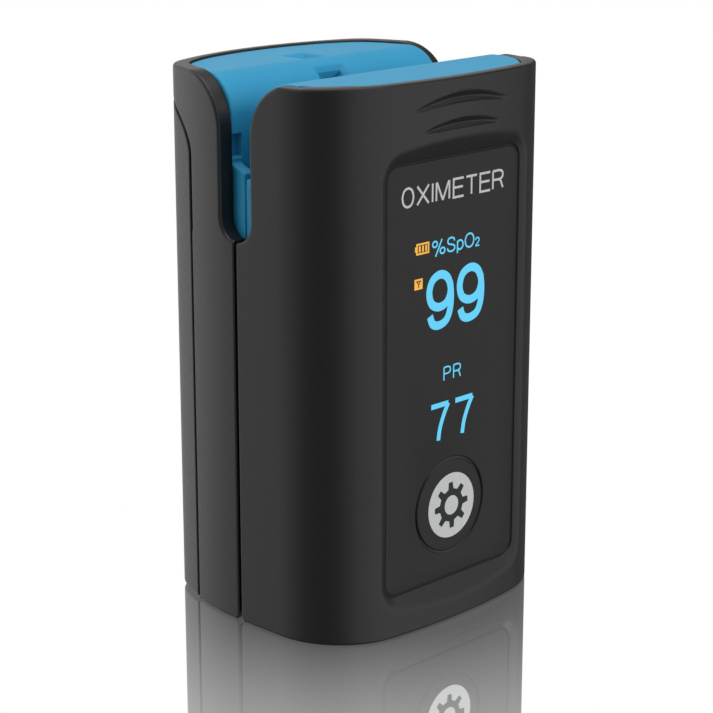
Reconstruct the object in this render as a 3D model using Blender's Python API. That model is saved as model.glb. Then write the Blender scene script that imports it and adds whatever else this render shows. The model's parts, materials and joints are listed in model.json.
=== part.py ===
"""Fingertip pulse oximeter, standing on its rear end with its mouth up.

The display half faces -Y and the battery half faces +Y. They meet at the parting plane and turn on a pin
at the rear end. Every size and place is in millimetres, and Y is measured from the parting plane.
"""

import math

import bmesh
import bpy
from mathutils import Matrix, Vector

MM = 0.001

# ---- driving dimensions -------------------------------------------------------------------------
HEIGHT = 58.5
HALF_WIDTH = 17.5
PARTING_Y = -0.27  # parting plane, from the middle of the whole depth
PARTING_GAP = 0.44
WALL = 1.8
END_WALL = 2.0
FIT = 0.3  # gap between pieces that rest on each other
PAST = 5.0  # how far a cutter runs past what it cuts

# Each half's outline: side radius and turn, corner radius, turn where the face arc starts, face radius.
FRONT = dict(side=-1, side_r=317.6, side_turn=0.02, corner_r=8.96, face_turn=1.431, face_r=69.9)
BACK = dict(side=1, side_r=29.07, side_turn=0.40, corner_r=4.82, face_turn=1.204, face_r=34.87)

# ---- hinge at the rear end ----------------------------------------------------------------------
PIN_Z = 1.6
PIN_R = 0.6
PIN_HOLE_R = 0.68
PIN_REACH = 14.1
KNUCKLE_R = 1.35
KNUCKLE_ROOM_R = 1.7
KNUCKLE_ROOM_X = 14.5
FOOT_ROUND_R = 0.8  # rounding along the foot of the parting line, which lets the halves tilt
FRONT_KNUCKLE_X = (9.2, 11.5)
BACK_KNUCKLE_X = (11.8, 13.8)
SPRING_X = (5.3, 8.6)
SPRING_COIL_R = 1.0
SPRING_WIRE_R = 0.24
SPRING_TURNS = 4

# ---- mouth and side slot ------------------------------------------------------------------------
SLOT_ROUND_Y = -0.05
SLOT_ROUND_Z = 43.98
SLOT_ROUND_R = 2.3
FLARE_Y = 8.03  # where the flare runs out along the rim
PAD_TOP_Z = 58.3
PAD_ROLL_Z = 54.2
PAD_ROLL_R = 4.1
PAD_THROAT_Y = 2.2
PAD_SKIN = 1.05
PAD_INSET = 2.0
PAD_FOOT_Z = 17.8
FLAP_TOP_Z = 48.2
FLAP_SPLIT_Y = 0.28
TROUGH_HALF_X = 14.3
FINGER_SENSOR_Z = 38.0

# ---- window, button and display -----------------------------------------------------------------
PANEL_HALF_X = 9.93
PANEL_Z = (4.53, 50.12)
PANEL_CORNER_R = 1.5
PANEL_FACE_Y = -14.35
PANEL_THICK = 1.1
PANEL_GROOVE = 0.15
LEDGE = 1.0
LEDGE_BACK_Y = -12.2
SLOPE_RUN = 0.5
CRESCENT_RISE = 2.0
BUTTON_Z = 12.4
BUTTON_R = 4.95
BUTTON_HOLE_R = 5.25
BUTTON_FLANGE_R = 5.6
BUTTON_TRAVEL = 0.3

# ---- battery bay --------------------------------------------------------------------------------
CELL_R = 5.25
CELL_LENGTH = 44.5
CELL_X = 5.4
CELL_Y = 9.2
CELL_FOOT_Z = 6.6  # the cell that stands on its spring
CELL_SPRING_ROOM = 1.8
COVER_EDGE_Y = 7.92
COVER_HALF_X = 16.4
COVER_ARCH_Z = 49.5
COVER_ARCH_X = 4.0
COVER_ARCH_RISE = 6.0
COVER_THICK = 1.1
COVER_GROOVE = 0.15


# ---- scene helpers ------------------------------------------------------------------------------
def clear_scene():
    for obj in list(bpy.data.objects):
        bpy.data.objects.remove(obj)


def add_empty(name, place, parent=None):
    empty = bpy.data.objects.new(name, None)
    bpy.context.scene.collection.objects.link(empty)
    empty.parent = parent
    empty.location = Vector(place) * MM
    return empty


def ride_on(obj, axis):
    """Hangs a finished piece on the empty at its joint's axis, leaving it where it is."""
    obj.parent = axis
    obj.matrix_parent_inverse = Matrix.Translation(-axis.location)


def paint(obj, colour, roughness, metallic=0.0, alpha=1.0):
    """Gives an object its own material, from a hex colour."""
    material = bpy.data.materials.new(obj.name)
    material.use_nodes = True
    shader = material.node_tree.nodes["Principled BSDF"]
    channels = [int(colour[i : i + 2], 16) / 255 for i in (1, 3, 5)]
    linear = [c / 12.92 if c <= 0.04045 else ((c + 0.055) / 1.055) ** 2.4 for c in channels]
    shader.inputs["Base Color"].default_value = (*linear, 1.0)
    shader.inputs["Roughness"].default_value = roughness
    shader.inputs["Metallic"].default_value = metallic
    shader.inputs["Alpha"].default_value = alpha
    material.diffuse_color = (*linear, alpha)
    obj.data.materials.append(material)
    return obj


# ---- shape helpers ------------------------------------------------------------------------------
def loft(name, rings):
    """A closed solid through rings of equally many points, with flat ends."""
    bm = bmesh.new()
    rows = [[bm.verts.new(Vector(point) * MM) for point in ring] for ring in rings]
    count = len(rows[0])
    for low, high in zip(rows, rows[1:]):
        for i in range(count):
            j = (i + 1) % count
            bm.faces.new((low[i], low[j], high[j], high[i]))
    bm.faces.new(rows[0])
    bm.faces.new(rows[-1])
    bmesh.ops.recalc_face_normals(bm, faces=bm.faces)
    mesh = bpy.data.meshes.new(name)
    bm.to_mesh(mesh)
    bm.free()
    mesh.shade_smooth()
    mesh.set_sharp_from_angle(angle=math.radians(30))
    obj = bpy.data.objects.new(name, mesh)
    bpy.context.scene.collection.objects.link(obj)
    obj.parent = FRAME
    return obj


def prism(name, outline, axis, low, high):
    """Runs an outline along an axis. The outline holds the other two coordinates, in X, Y, Z order."""
    place = {
        "X": lambda a, b, level: (level, a, b),
        "Y": lambda a, b, level: (a, level, b),
        "Z": lambda a, b, level: (a, b, level),
    }[axis]
    return loft(name, [[place(a, b, level) for a, b in outline] for level in (low, high)])


def box(name, low, high):
    outline = [(low[0], low[1]), (high[0], low[1]), (high[0], high[1]), (low[0], high[1])]
    return prism(name, outline, "Z", low[2], high[2])


def turned(name, centre, profile, axis="Y", segments=32):
    """A turned solid. The profile holds (radius, level) pairs along the axis, and centre its other two."""
    rings = []
    for radius, level in profile:
        ring = []
        for i in range(segments):
            angle = 2 * math.pi * i / segments
            a = centre[0] + radius * math.cos(angle)
            b = centre[1] + radius * math.sin(angle)
            ring.append({"X": (level, a, b), "Y": (a, level, b), "Z": (a, b, level)}[axis])
        rings.append(ring)
    return loft(name, rings)


def arc(centre, radius, start, end, steps):
    """Points along an arc, angles in degrees, both ends included."""
    angles = [math.radians(start + (end - start) * i / steps) for i in range(steps + 1)]
    return [(centre[0] + radius * math.cos(a), centre[1] + radius * math.sin(a)) for a in angles]


def rounded_box_outline(half_x, low, high, radius, steps=4):
    x = half_x - radius
    bottom = low + radius
    top = high - radius
    return (
        arc((x, bottom), radius, -90, 0, steps)
        + arc((x, top), radius, 0, 90, steps)
        + arc((-x, top), radius, 90, 180, steps)
        + arc((-x, bottom), radius, 180, 270, steps)
    )


def tube_along(name, points, radius):
    """A round wire through the points, which are (x, y, z)."""
    curve = bpy.data.curves.new(name, "CURVE")
    curve.dimensions = "3D"
    curve.bevel_depth = radius * MM
    curve.bevel_resolution = 1
    curve.use_fill_caps = True
    spline = curve.splines.new("POLY")
    spline.points.add(len(points) - 1)
    for place, point in zip(points, spline.points):
        point.co = (*(Vector(place) * MM), 1.0)
    obj = bpy.data.objects.new(name, curve)
    bpy.context.scene.collection.objects.link(obj)
    obj.parent = FRAME
    return obj


def combine(target, other, operation):
    modifier = target.modifiers.new(other.name, "BOOLEAN")
    modifier.operation = operation
    modifier.object = other
    other.hide_render = True
    other.display_type = "WIRE"


def cut(target, *others):
    for other in others:
        combine(target, other, "DIFFERENCE")


def join(target, *others):
    for other in others:
        combine(target, other, "UNION")


def trim(target, other):
    combine(target, other, "INTERSECT")


# ---- the outline that both halves share ---------------------------------------------------------
def half_curve(half, inset):
    """The half's outline in XY, from the -X side round the face to the +X side."""
    turns = (0.0, half["side_turn"], half["face_turn"], math.pi / 2)
    radii = [half[key] - inset for key in ("side_r", "corner_r", "face_r")]
    x = inset - HALF_WIDTH
    y = 0.0
    left = [(x, y)]
    for radius, start, end, steps in zip(radii, turns, turns[1:], (3, 8, 7)):
        for i in range(1, steps + 1):
            turn = start + (end - start) * i / steps
            last = start + (end - start) * (i - 1) / steps
            x += radius * (math.cos(last) - math.cos(turn))
            y += radius * (math.sin(turn) - math.sin(last))
            left.append((x, y))
    right = [(-x, y) for x, y in reversed(left[:-1])]
    return [(x, half["side"] * y) for x, y in left + right]


def half_outline(half, inset, start):
    """The half's outline closed by a straight line at Y = start."""
    curve = half_curve(half, inset)
    first, last = curve[0], curve[-1]
    return [(first[0], start)] + curve[1:-1] + [(last[0], start)]


def face_depth(half, x):
    """How far the outer face stands from the parting plane at this X."""
    turn, face_r, corner_r = half["face_turn"], half["face_r"], half["corner_r"]
    depth = abs(half_curve(half, 0.0)[18][1])
    if abs(x) <= face_r * math.cos(turn):
        return depth - face_r + math.sqrt(face_r**2 - x**2)
    centre_x = (face_r - corner_r) * math.cos(turn)
    centre_y = depth - face_r + (face_r - corner_r) * math.sin(turn)
    return centre_y + math.sqrt(corner_r**2 - (abs(x) - centre_x) ** 2)


# ---- cutters and joints that both halves share --------------------------------------------------
def slot_cutter(name, side):
    """The side slot with its round foot and its flare at the mouth, on one side of the parting plane."""
    edge = SLOT_ROUND_R + side * SLOT_ROUND_Y
    flare_r = FLARE_Y - edge
    round_foot = [(side * y, z) for y, z in arc((0.0, SLOT_ROUND_Z), edge, -90, 0, 8)]
    flare_arc = arc((-FLARE_Y, HEIGHT - flare_r), flare_r, 0, 90, 8)
    flare = [(-side * y, z) for y, z in flare_arc]
    outline = round_foot + flare + [
        (side * FLARE_Y, HEIGHT + PAST),
        (-side * PAST, HEIGHT + PAST),
        (-side * PAST, SLOT_ROUND_Z - edge),
    ]
    return prism(name, outline, "X", -HALF_WIDTH - PAST, HALF_WIDTH + PAST)


def foot_cutter(name, side):
    """Takes the sharp edge off the foot of the parting line."""
    edge = PARTING_GAP / 2
    centre = (edge + FOOT_ROUND_R, FOOT_ROUND_R)
    outline = [(side * y, z) for y, z in arc(centre, FOOT_ROUND_R, 180, 270, 5)]
    outline += [(side * centre[0], -PAST), (-side * PAST, -PAST), (-side * PAST, centre[1])]
    return prism(name, outline, "X", -HALF_WIDTH - PAST, HALF_WIDTH + PAST)


def knuckle(name, half, low, high):
    """One hinge knuckle with the web that ties it to the end wall."""
    side = half["side"]
    barrel = turned(name, (0.0, PIN_Z), [(KNUCKLE_R, low), (KNUCKLE_R, high)], "X", 20)
    web_y = sorted((side * 0.3, side * 3.2))
    join(barrel, box(name + "_web", (low, web_y[0], 0.4), (high, web_y[1], END_WALL + 0.5)))
    return barrel


def add_knuckles(housing, name, half, reach):
    room = [(KNUCKLE_ROOM_R, -KNUCKLE_ROOM_X), (KNUCKLE_ROOM_R, KNUCKLE_ROOM_X)]
    cut(housing, turned(name + "_hinge_room", (0.0, PIN_Z), room, "X", 24))
    join(housing, knuckle(name + "_knuckle_right", half, *reach))
    join(housing, knuckle(name + "_knuckle_left", half, -reach[1], -reach[0]))
    hole = [(PIN_HOLE_R, -KNUCKLE_ROOM_X), (PIN_HOLE_R, KNUCKLE_ROOM_X)]
    cut(housing, turned(name + "_pin_hole", (0.0, PIN_Z), hole, "X", 16))


# ---- display half -------------------------------------------------------------------------------
SCREW_X_FRONT = 12.2
SCREW_Z_FRONT = (22.0, 45.0)
INNER_FACE_Y = -7.65
INNER_BACK_Y = -9.05
TONGUE_Y = 0.25  # the inner cover's foot laps the parting gap, so that no light shows through
TONGUE_Z = 3.3


def window_slope_cutter():
    """The flat ground for the window, with slopes that climb to the curved face all round."""
    floor = rounded_box_outline(PANEL_HALF_X, *PANEL_Z, PANEL_CORNER_R)
    middle = sum(PANEL_Z) / 2
    top_y = PANEL_FACE_Y - 3.0
    low_ring = []
    high_ring = []
    for x, z in floor:
        rim_x = x * (1 + SLOPE_RUN / PANEL_HALF_X)
        bulge = max(0.0, 1 - (rim_x / (PANEL_HALF_X + SLOPE_RUN)) ** 2)
        rim_z = z + math.copysign(CRESCENT_RISE * bulge + 0.1, z - middle)
        climb = (PANEL_FACE_Y - top_y) / (face_depth(FRONT, rim_x) + PANEL_FACE_Y)
        low_ring.append((x, PANEL_FACE_Y, z))
        high_ring.append((x + (rim_x - x) * climb, top_y, z + (rim_z - z) * climb))
    return loft("window_slope", [low_ring, high_ring])


def grip_cutter(name, half_x, end_z, low_z, high_z):
    """A shallow crescent scoop for the fingertip that opens the jaw."""
    steps = 10
    across = [half_x * (2 * i / steps - 1) for i in range(steps + 1)]
    lower = [(x, low_z - (low_z - end_z + 0.25) * (x / half_x) ** 2) for x in across]
    upper = [(x, high_z - (high_z - end_z) * (x / half_x) ** 2) for x in reversed(across)]
    return prism(name, lower + upper, "Y", -HALF_WIDTH - PAST, -15.25)


def front_housing():
    housing = prism("front_housing", half_outline(FRONT, 0.0, -PARTING_GAP / 2), "Z", 0.0, HEIGHT)
    hollow = [(x, max(y, LEDGE_BACK_Y)) for x, y in half_outline(FRONT, WALL, 2.0)]
    panel = rounded_box_outline(
        PANEL_HALF_X + PANEL_GROOVE, PANEL_Z[0] - PANEL_GROOVE, PANEL_Z[1] + PANEL_GROOVE, PANEL_CORNER_R
    )
    opening = rounded_box_outline(PANEL_HALF_X - LEDGE, PANEL_Z[0] + LEDGE, PANEL_Z[1] - LEDGE, 0.8, 2)
    cut(
        housing,
        prism("front_hollow", hollow, "Z", END_WALL, HEIGHT + PAST),
        prism("front_rim_hollow", half_outline(FRONT, 1.85, 1.0), "Z", 55.7, HEIGHT + PAST),
        window_slope_cutter(),
        prism("panel_recess", panel, "Y", -HALF_WIDTH, PANEL_FACE_Y + PANEL_THICK + 0.1),
        prism("window_opening", opening, "Y", -HALF_WIDTH, LEDGE_BACK_Y + PAST),
        grip_cutter("grip_upper", 6.7, 55.5, 56.14, 56.8),
        grip_cutter("grip_lower", 5.4, 53.1, 53.55, 54.4),
        slot_cutter("front_slot", -1),
        foot_cutter("front_foot", -1),
    )
    add_knuckles(housing, "front", FRONT, FRONT_KNUCKLE_X)
    for z in SCREW_Z_FRONT:
        for x in (-SCREW_X_FRONT, SCREW_X_FRONT):
            place = f"{x:+.0f}_{z:.0f}"
            boss = turned("boss" + place, (x, z), [(1.45, -12.9), (1.45, INNER_BACK_Y - FIT)], "Y", 16)
            join(housing, boss)
            cut(housing, turned("thread" + place, (x, z), [(0.75, -12.3), (0.75, -6.0)], "Y", 12))
    return paint(housing, "#3a3a3a", 0.5)


def window_panel():
    outline = rounded_box_outline(PANEL_HALF_X, *PANEL_Z, PANEL_CORNER_R)
    panel = prism("window_panel", outline, "Y", PANEL_FACE_Y, PANEL_FACE_Y + PANEL_THICK)
    hole = [(BUTTON_HOLE_R, PANEL_FACE_Y - PAST), (BUTTON_HOLE_R, PANEL_FACE_Y + PAST)]
    cut(panel, turned("button_hole", (0.0, BUTTON_Z), hole))
    return paint(panel, "#343434", 0.3)


def button_cap():
    profile = [
        (3.9, -14.45),
        (4.75, -14.4),
        (BUTTON_R, -14.2),
        (BUTTON_R, -13.05),
        (BUTTON_FLANGE_R, -12.95),
        (BUTTON_FLANGE_R, -12.6),
        (1.3, -12.55),
        (1.3, -12.35),
    ]
    return paint(turned("button_cap", (0.0, BUTTON_Z), profile), "#3a3a3a", 0.45)


def display_pieces():
    glass = box("display_glass", (-8.4, -12.95, 19.0), (8.4, -12.15, 45.0))
    holder = box("display_holder", (-8.7, -12.0, 18.8), (8.7, -11.2, 45.6))
    paint(glass, "#101318", 0.1)
    paint(holder, "#e8e8e4", 0.5)
    return [glass, holder]


def board_pieces():
    board = box("main_board", (-10.4, -11.05, 3.0), (10.4, -10.25, 49.8))
    chip = box("processor_chip", (-3.5, -10.15, 23.0), (3.5, -9.25, 30.0))
    amplifier = box("sensor_amplifier", (3.9, -10.15, 33.5), (7.9, -9.25, 37.5))
    crystal = box("crystal", (-7.6, -10.15, 24.0), (-5.4, -9.35, 28.6))
    coil = turned("power_coil", (-5.6, 42.0), [(2.2, -10.15), (2.2, -9.25)], "Y", 20)
    connector = box("flex_connector", (-3.0, -10.15, 6.8), (3.0, -9.25, 9.4))
    body = box("switch_body", (-2.25, -11.75, BUTTON_Z - 2.25), (2.25, -11.15, BUTTON_Z + 2.25))
    cut(body, turned("plunger_hole", (0.0, BUTTON_Z), [(1.1, -14.0), (1.1, -10.0)], "Y", 20))
    paint(board, "#1f5a3c", 0.5)
    for piece in (chip, amplifier):
        paint(piece, "#1a1a1c", 0.45)
    paint(crystal, "#b9babc", 0.25, metallic=1.0)
    paint(coil, "#3c3c40", 0.5)
    paint(connector, "#d9d4c4", 0.5)
    paint(body, "#b9babc", 0.3, metallic=1.0)
    return [board, chip, amplifier, crystal, coil, connector, body]


def switch_plunger():
    plunger = turned("switch_plunger", (0.0, BUTTON_Z), [(0.9, -12.25), (0.9, -11.55)], "Y", 16)
    return paint(plunger, "#1d1d1f", 0.5)


def roll(side, radius, start, end, steps=8):
    """Points of the arc that turns a pad or its support over the mouth's edge."""
    centre_y = PAD_THROAT_Y + PAD_ROLL_R
    points = arc((0.0, 0.0), radius, start, end, steps)
    return [(side * (centre_y - y), PAD_ROLL_Z + z) for y, z in points]


def front_inner_cover():
    top = PAD_TOP_Z - PAD_SKIN - FIT
    inner_r = top - PAD_ROLL_Z
    outline = [(TONGUE_Y, TONGUE_Z), (TONGUE_Y, 17.5), (INNER_FACE_Y, 17.5), (INNER_FACE_Y, 49.2), (-3.55, 50.8)]
    outline += roll(-1, inner_r, 0, 90) + [(-13.6, top), (-13.6, top - 1.0)]
    outline += roll(-1, inner_r - 1.0, 90, 0) + [(-4.55, 51.6), (INNER_BACK_Y, 49.8)]
    outline += [(INNER_BACK_Y, 16.2), (-1.7, 16.2), (-1.7, 6.2), (-0.5, 6.2), (-0.5, TONGUE_Z)]
    cover = prism("front_inner_cover", outline, "X", -HALF_WIDTH, HALF_WIDTH)
    trim(cover, prism("front_cover_edge", half_outline(FRONT, 2.1, 1.0), "Z", 1.0, HEIGHT + PAST))
    low, high = FINGER_SENSOR_Z - 3.5, FINGER_SENSOR_Z + 3.5
    cut(cover, box("detector_opening", (-3.5, -10.0, low), (3.5, -7.0, high)))
    cut(cover, box("flex_notch", (-2.8, -1.0, 1.0), (2.8, 1.0, 5.8)))
    for z in SCREW_Z_FRONT:
        for x in (-SCREW_X_FRONT, SCREW_X_FRONT):
            profile = [(0.8, -10.0), (0.8, -8.25), (1.55, -8.25), (1.55, -7.0)]
            cut(cover, turned(f"front_sink{x:+.0f}_{z:.0f}", (x, z), profile, "Y", 16))
    return paint(cover, "#242426", 0.5)


def front_pad():
    outline = [(FLAP_SPLIT_Y - 0.08, PAD_FOOT_Z), (FLAP_SPLIT_Y - 0.08, FLAP_TOP_Z - 0.1)]
    outline += [(-PAD_THROAT_Y, FLAP_TOP_Z)] + roll(-1, PAD_ROLL_R, 0, 90)
    outline += [(-14.4, PAD_TOP_Z), (-14.4, PAD_TOP_Z - PAD_SKIN)]
    outline += roll(-1, PAD_ROLL_R - PAD_SKIN, 90, 0)
    outline += [(-3.25, 50.6), (INNER_FACE_Y + FIT, 48.9), (INNER_FACE_Y + FIT, PAD_FOOT_Z)]
    pad = prism("front_pad", outline, "X", -HALF_WIDTH, HALF_WIDTH)
    trim(pad, prism("front_pad_edge", half_outline(FRONT, PAD_INSET, 2.0), "Z", 10.0, HEIGHT + PAST))
    stations = [(19.0, 4.4), (20.2, 5.6), (22.0, 6.1), (43.5, 6.1), (46.5, 5.2), (49.3, 3.4), (51.6, 1.9)]
    rings = []
    for z, depth in stations:
        ellipse = arc((0.0, 0.0), 1.0, 180, 360, 16)
        ring = [(TROUGH_HALF_X * x, depth * y + FLAP_SPLIT_Y, z) for x, y in ellipse]
        rings.append(ring + [(TROUGH_HALF_X, 4.0, z), (-TROUGH_HALF_X, 4.0, z)])
    cut(pad, loft("front_trough", rings))
    low, high = FINGER_SENSOR_Z - 2.2, FINGER_SENSOR_Z + 2.2
    cut(pad, box("detector_sight", (-2.2, -10.0, low), (2.2, -3.0, high)))
    return paint(pad, "#3e93b9", 0.55)


def detector_pieces():
    z = FINGER_SENSOR_Z
    board = box("detector_board", (-3.2, -8.7, z - 3.2), (3.2, -8.1, z + 3.2))
    diode = box("photodiode", (-1.4, -8.0, z - 1.4), (1.4, -7.0, z + 1.4))
    window = box("detector_window", (-2.0, -6.85, z - 2.0), (2.0, -6.2, z + 2.0))
    paint(board, "#1f5a3c", 0.5)
    paint(diode, "#15161a", 0.2)
    paint(window, "#5a6a72", 0.1, alpha=0.5)
    return [board, diode, window]


def screw(name, x, z, head_y, length, side):
    """A small round-head screw whose shank runs to the given side of its head."""
    profile = [(1.3, head_y), (1.3, head_y + side * 0.5), (0.6, head_y + side * 0.5)]
    profile.append((0.6, head_y + side * length))
    return paint(turned(name, (x, z), profile, "Y", 14), "#8f9194", 0.3, metallic=1.0)


def front_screws():
    screws = []
    for row, z in zip(("lower", "upper"), SCREW_Z_FRONT):
        for column, x in (("left", -SCREW_X_FRONT), ("right", SCREW_X_FRONT)):
            screws.append(screw(f"front_screw_{row}_{column}", x, z, -7.7, 4.2, -1))
    return screws


# ---- battery half -------------------------------------------------------------------------------
SCREW_X_BACK = 13.3
SCREW_Z_BACK = (12.0, 44.0)
PLATE_Y = (3.25, 3.85)
BAY_WALL_X = (10.95, 11.65)
BAY_FRONT_Y = 4.6
BAY_TOP_Z = (51.85, 52.9)


def cover_outline(grow):
    """The battery cover's outline seen from the back, with its arched top corners."""
    steps = 8
    corner = []
    for i in range(steps + 1):
        angle = math.pi / 2 * i / steps
        x = COVER_HALF_X - COVER_ARCH_X + (COVER_ARCH_X + grow) * math.cos(angle)
        corner.append((x, COVER_ARCH_Z + (COVER_ARCH_RISE + grow) * math.sin(angle)))
    mirrored = [(-x, z) for x, z in reversed(corner)]
    return corner + mirrored


def cover_block(name, grow, low_z):
    """Everything behind the battery cover's edge line."""
    outline = cover_outline(grow)
    outline = [(-COVER_HALF_X - grow, low_z), (COVER_HALF_X + grow, low_z)] + outline
    return prism(name, outline, "Y", COVER_EDGE_Y - grow, HALF_WIDTH + PAST)


def bay_pieces():
    """The walls that hold the cells, joined to the end wall and tied to the side walls."""
    low, high = BAY_WALL_X
    pieces = [
        prism("end_plate", half_outline(BACK, COVER_THICK + 0.35, 1.0), "Z", 0.0, END_WALL),
        box("bay_foot", (-high, BAY_FRONT_Y, 1.0), (high, 12.3, 4.2)),
        box("bay_top", (-high, BAY_FRONT_Y, BAY_TOP_Z[0]), (high, 12.3, BAY_TOP_Z[1])),
    ]
    for name, side in (("left", -1), ("right", 1)):
        x = sorted((side * low, side * high))
        pieces.append(box(f"bay_wall_{name}", (x[0], BAY_FRONT_Y, 1.0), (x[1], 12.3, BAY_TOP_Z[1])))
        tie = sorted((side * (low + 0.2), side * 16.5))
        for i, z in enumerate((6.0, 28.0, 50.0)):
            pieces.append(box(f"tie_{name}_{i}", (tie[0], 5.2, z), (tie[1], 7.4, z + 1.0)))
    return pieces


def rear_housing():
    housing = prism("rear_housing", half_outline(BACK, 0.0, PARTING_GAP / 2), "Z", 0.0, HEIGHT)
    cut(
        housing,
        prism("rear_hollow", half_outline(BACK, WALL, -1.0), "Z", END_WALL, HEIGHT + PAST),
        cover_block("cover_opening", COVER_GROOVE, -PAST),
    )
    join(housing, *bay_pieces())
    cut(housing, slot_cutter("rear_slot", 1), foot_cutter("rear_foot", 1))
    add_knuckles(housing, "rear", BACK, BACK_KNUCKLE_X)
    for z in SCREW_Z_BACK:
        for x in (-SCREW_X_BACK, SCREW_X_BACK):
            place = f"{x:+.0f}_{z:.0f}"
            join(housing, turned("post" + place, (x, z), [(1.45, 5.45), (1.45, 9.0)], "Y", 16))
            cut(housing, turned("socket" + place, (x, z), [(0.75, 3.0), (0.75, 8.7)], "Y", 12))
    return paint(housing, "#3a3a3a", 0.5)


def battery_cover():
    cover = prism("battery_cover", half_outline(BACK, 0.0, PARTING_GAP), "Z", 0.3, HEIGHT)
    cut(cover, prism("cover_hollow", half_outline(BACK, COVER_THICK, -1.0), "Z", -PAST, HEIGHT + PAST))
    trim(cover, cover_block("cover_edge", -COVER_GROOVE, -1.0))
    return paint(cover, "#3a3a3a", 0.5)


def rear_inner_cover():
    top = PAD_TOP_Z - PAD_SKIN - FIT
    inner_r = top - PAD_ROLL_Z
    outline = [(0.55, 6.2), (0.55, 17.5), (PLATE_Y[0], 17.5), (PLATE_Y[0], 51.2)]
    outline += roll(1, inner_r, 0, 90) + [(14.3, top), (14.3, top - 0.8)]
    outline += roll(1, inner_r - 0.8, 90, 0) + [(PLATE_Y[1], 51.2), (PLATE_Y[1], 3.0)]
    outline += [(PLATE_Y[0], 3.0), (PLATE_Y[0], 16.3), (1.5, 16.3), (1.5, 6.2)]
    cover = prism("rear_inner_cover", outline, "X", -HALF_WIDTH, HALF_WIDTH)
    trim(cover, prism("rear_cover_edge", half_outline(BACK, 2.1, -1.0), "Z", 1.0, HEIGHT + PAST))
    low, high = FINGER_SENSOR_Z - 3.6, FINGER_SENSOR_Z + 3.6
    cut(cover, box("emitter_opening", (-2.8, 2.0, low), (2.8, 5.0, high)))
    cut(cover, box("flex_way", (-2.7, 2.5, 15.0), (2.7, PLATE_Y[0], 18.5)))
    for z in SCREW_Z_BACK:
        for x in (-SCREW_X_BACK, SCREW_X_BACK):
            place = f"{x:+.0f}_{z:.0f}"
            join(cover, turned("sink_ring" + place, (x, z), [(1.4, 3.4), (1.4, 5.15)], "Y", 16))
            profile = [(1.2, 2.0), (1.2, 4.2), (0.75, 4.2), (0.75, 6.0)]
            cut(cover, turned("rear_sink" + place, (x, z), profile, "Y", 14))
    return paint(cover, "#242426", 0.5)


def rear_pad():
    floor_back = PLATE_Y[0] - 0.15
    outline = [(FLAP_SPLIT_Y + 0.08, PAD_FOOT_Z), (FLAP_SPLIT_Y + 0.08, FLAP_TOP_Z)]
    outline += [(PAD_THROAT_Y, FLAP_TOP_Z + 1.0)] + roll(1, PAD_ROLL_R, 0, 90)
    outline += [(15.0, PAD_TOP_Z), (15.0, PAD_TOP_Z - PAD_SKIN)]
    outline += roll(1, PAD_ROLL_R - PAD_SKIN, 90, 0) + [(floor_back, 51.0), (floor_back, PAD_FOOT_Z)]
    pad = prism("rear_pad", outline, "X", -HALF_WIDTH, HALF_WIDTH)
    trim(pad, prism("rear_pad_edge", half_outline(BACK, PAD_INSET, -1.0), "Z", 10.0, HEIGHT + PAST))
    side_slope = [(TROUGH_HALF_X, 0.2), (13.6, 1.3), (12.2, 1.9), (9.0, 2.15), (0.0, PAD_THROAT_Y)]
    floor = side_slope + [(-x, y) for x, y in reversed(side_slope[:-1])]
    floor += [(-TROUGH_HALF_X, -4.0), (TROUGH_HALF_X, -4.0)]
    cut(pad, prism("rear_trough", floor, "Z", 18.8, 51.0))
    low, high = FINGER_SENSOR_Z - 2.2, FINGER_SENSOR_Z + 2.2
    cut(pad, box("emitter_sight", (-2.2, -2.0, low), (2.2, 5.0, high)))
    cut(pad, box("flex_groove", (-2.6, 2.72, 10.0), (2.6, 5.0, FINGER_SENSOR_Z)))
    eye = box("eye_pocket", (-1.45, 0.0, 56.2), (1.45, 4.1, 57.9))
    cut(pad, eye)
    return paint(pad, "#3e93b9", 0.55)


def emitter_pieces():
    z = FINGER_SENSOR_Z
    board = box("emitter_board", (-2.6, 3.25, z - 3.4), (2.6, 3.75, z + 3.4))
    led = box("emitter_led", (-1.3, 2.65, z - 1.3), (1.3, 3.12, z + 1.3))
    window = box("emitter_window", (-2.0, 2.1, z - 2.0), (2.0, 2.52, z + 2.0))
    paint(board, "#1f5a3c", 0.5)
    paint(led, "#e9e6da", 0.3)
    paint(window, "#8a3b36", 0.1, alpha=0.5)
    return [board, led, window]


def rear_screws():
    screws = []
    for row, z in zip(("lower", "upper"), SCREW_Z_BACK):
        for column, x in (("left", -SCREW_X_BACK), ("right", SCREW_X_BACK)):
            name = f"rear_screw_{row}_{column}"
            profile = [(1.05, 3.55), (1.05, 4.1), (0.6, 4.1), (0.6, 8.4)]
            screws.append(paint(turned(name, (x, z), profile, "Y", 14), "#8f9194", 0.3, metallic=1.0))
    return screws


def cell(name, x, foot_z, up):
    """An AAA cell. Its positive nub points up or down."""
    nub = 0.8
    body = CELL_LENGTH - nub
    steps = [(CELL_R - 0.4, 0.0), (CELL_R, 0.4), (CELL_R, body - 0.4), (CELL_R - 0.4, body)]
    steps += [(1.9, body), (1.9, CELL_LENGTH)]
    profile = [(r, foot_z + (level if up else CELL_LENGTH - level)) for r, level in steps]
    return paint(turned(name, (x, CELL_Y), profile, "Z", 32), "#2f6b4a", 0.35, metallic=0.3)


def contact_spring(name, x, low, high):
    """A conical contact spring, wide at its plate and narrow at the cell."""
    turns, per_turn, wire = 3, 14, 0.2
    points = []
    for i in range(turns * per_turn + 1):
        along = i / (turns * per_turn)
        angle = 2 * math.pi * turns * along
        radius = 3.2 - 1.4 * along
        z = low + (high - low) * along
        points.append((x + radius * math.cos(angle), CELL_Y + radius * math.sin(angle), z))
    return paint(tube_along(name, points, wire), "#c9c9c6", 0.25, metallic=1.0)


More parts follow.
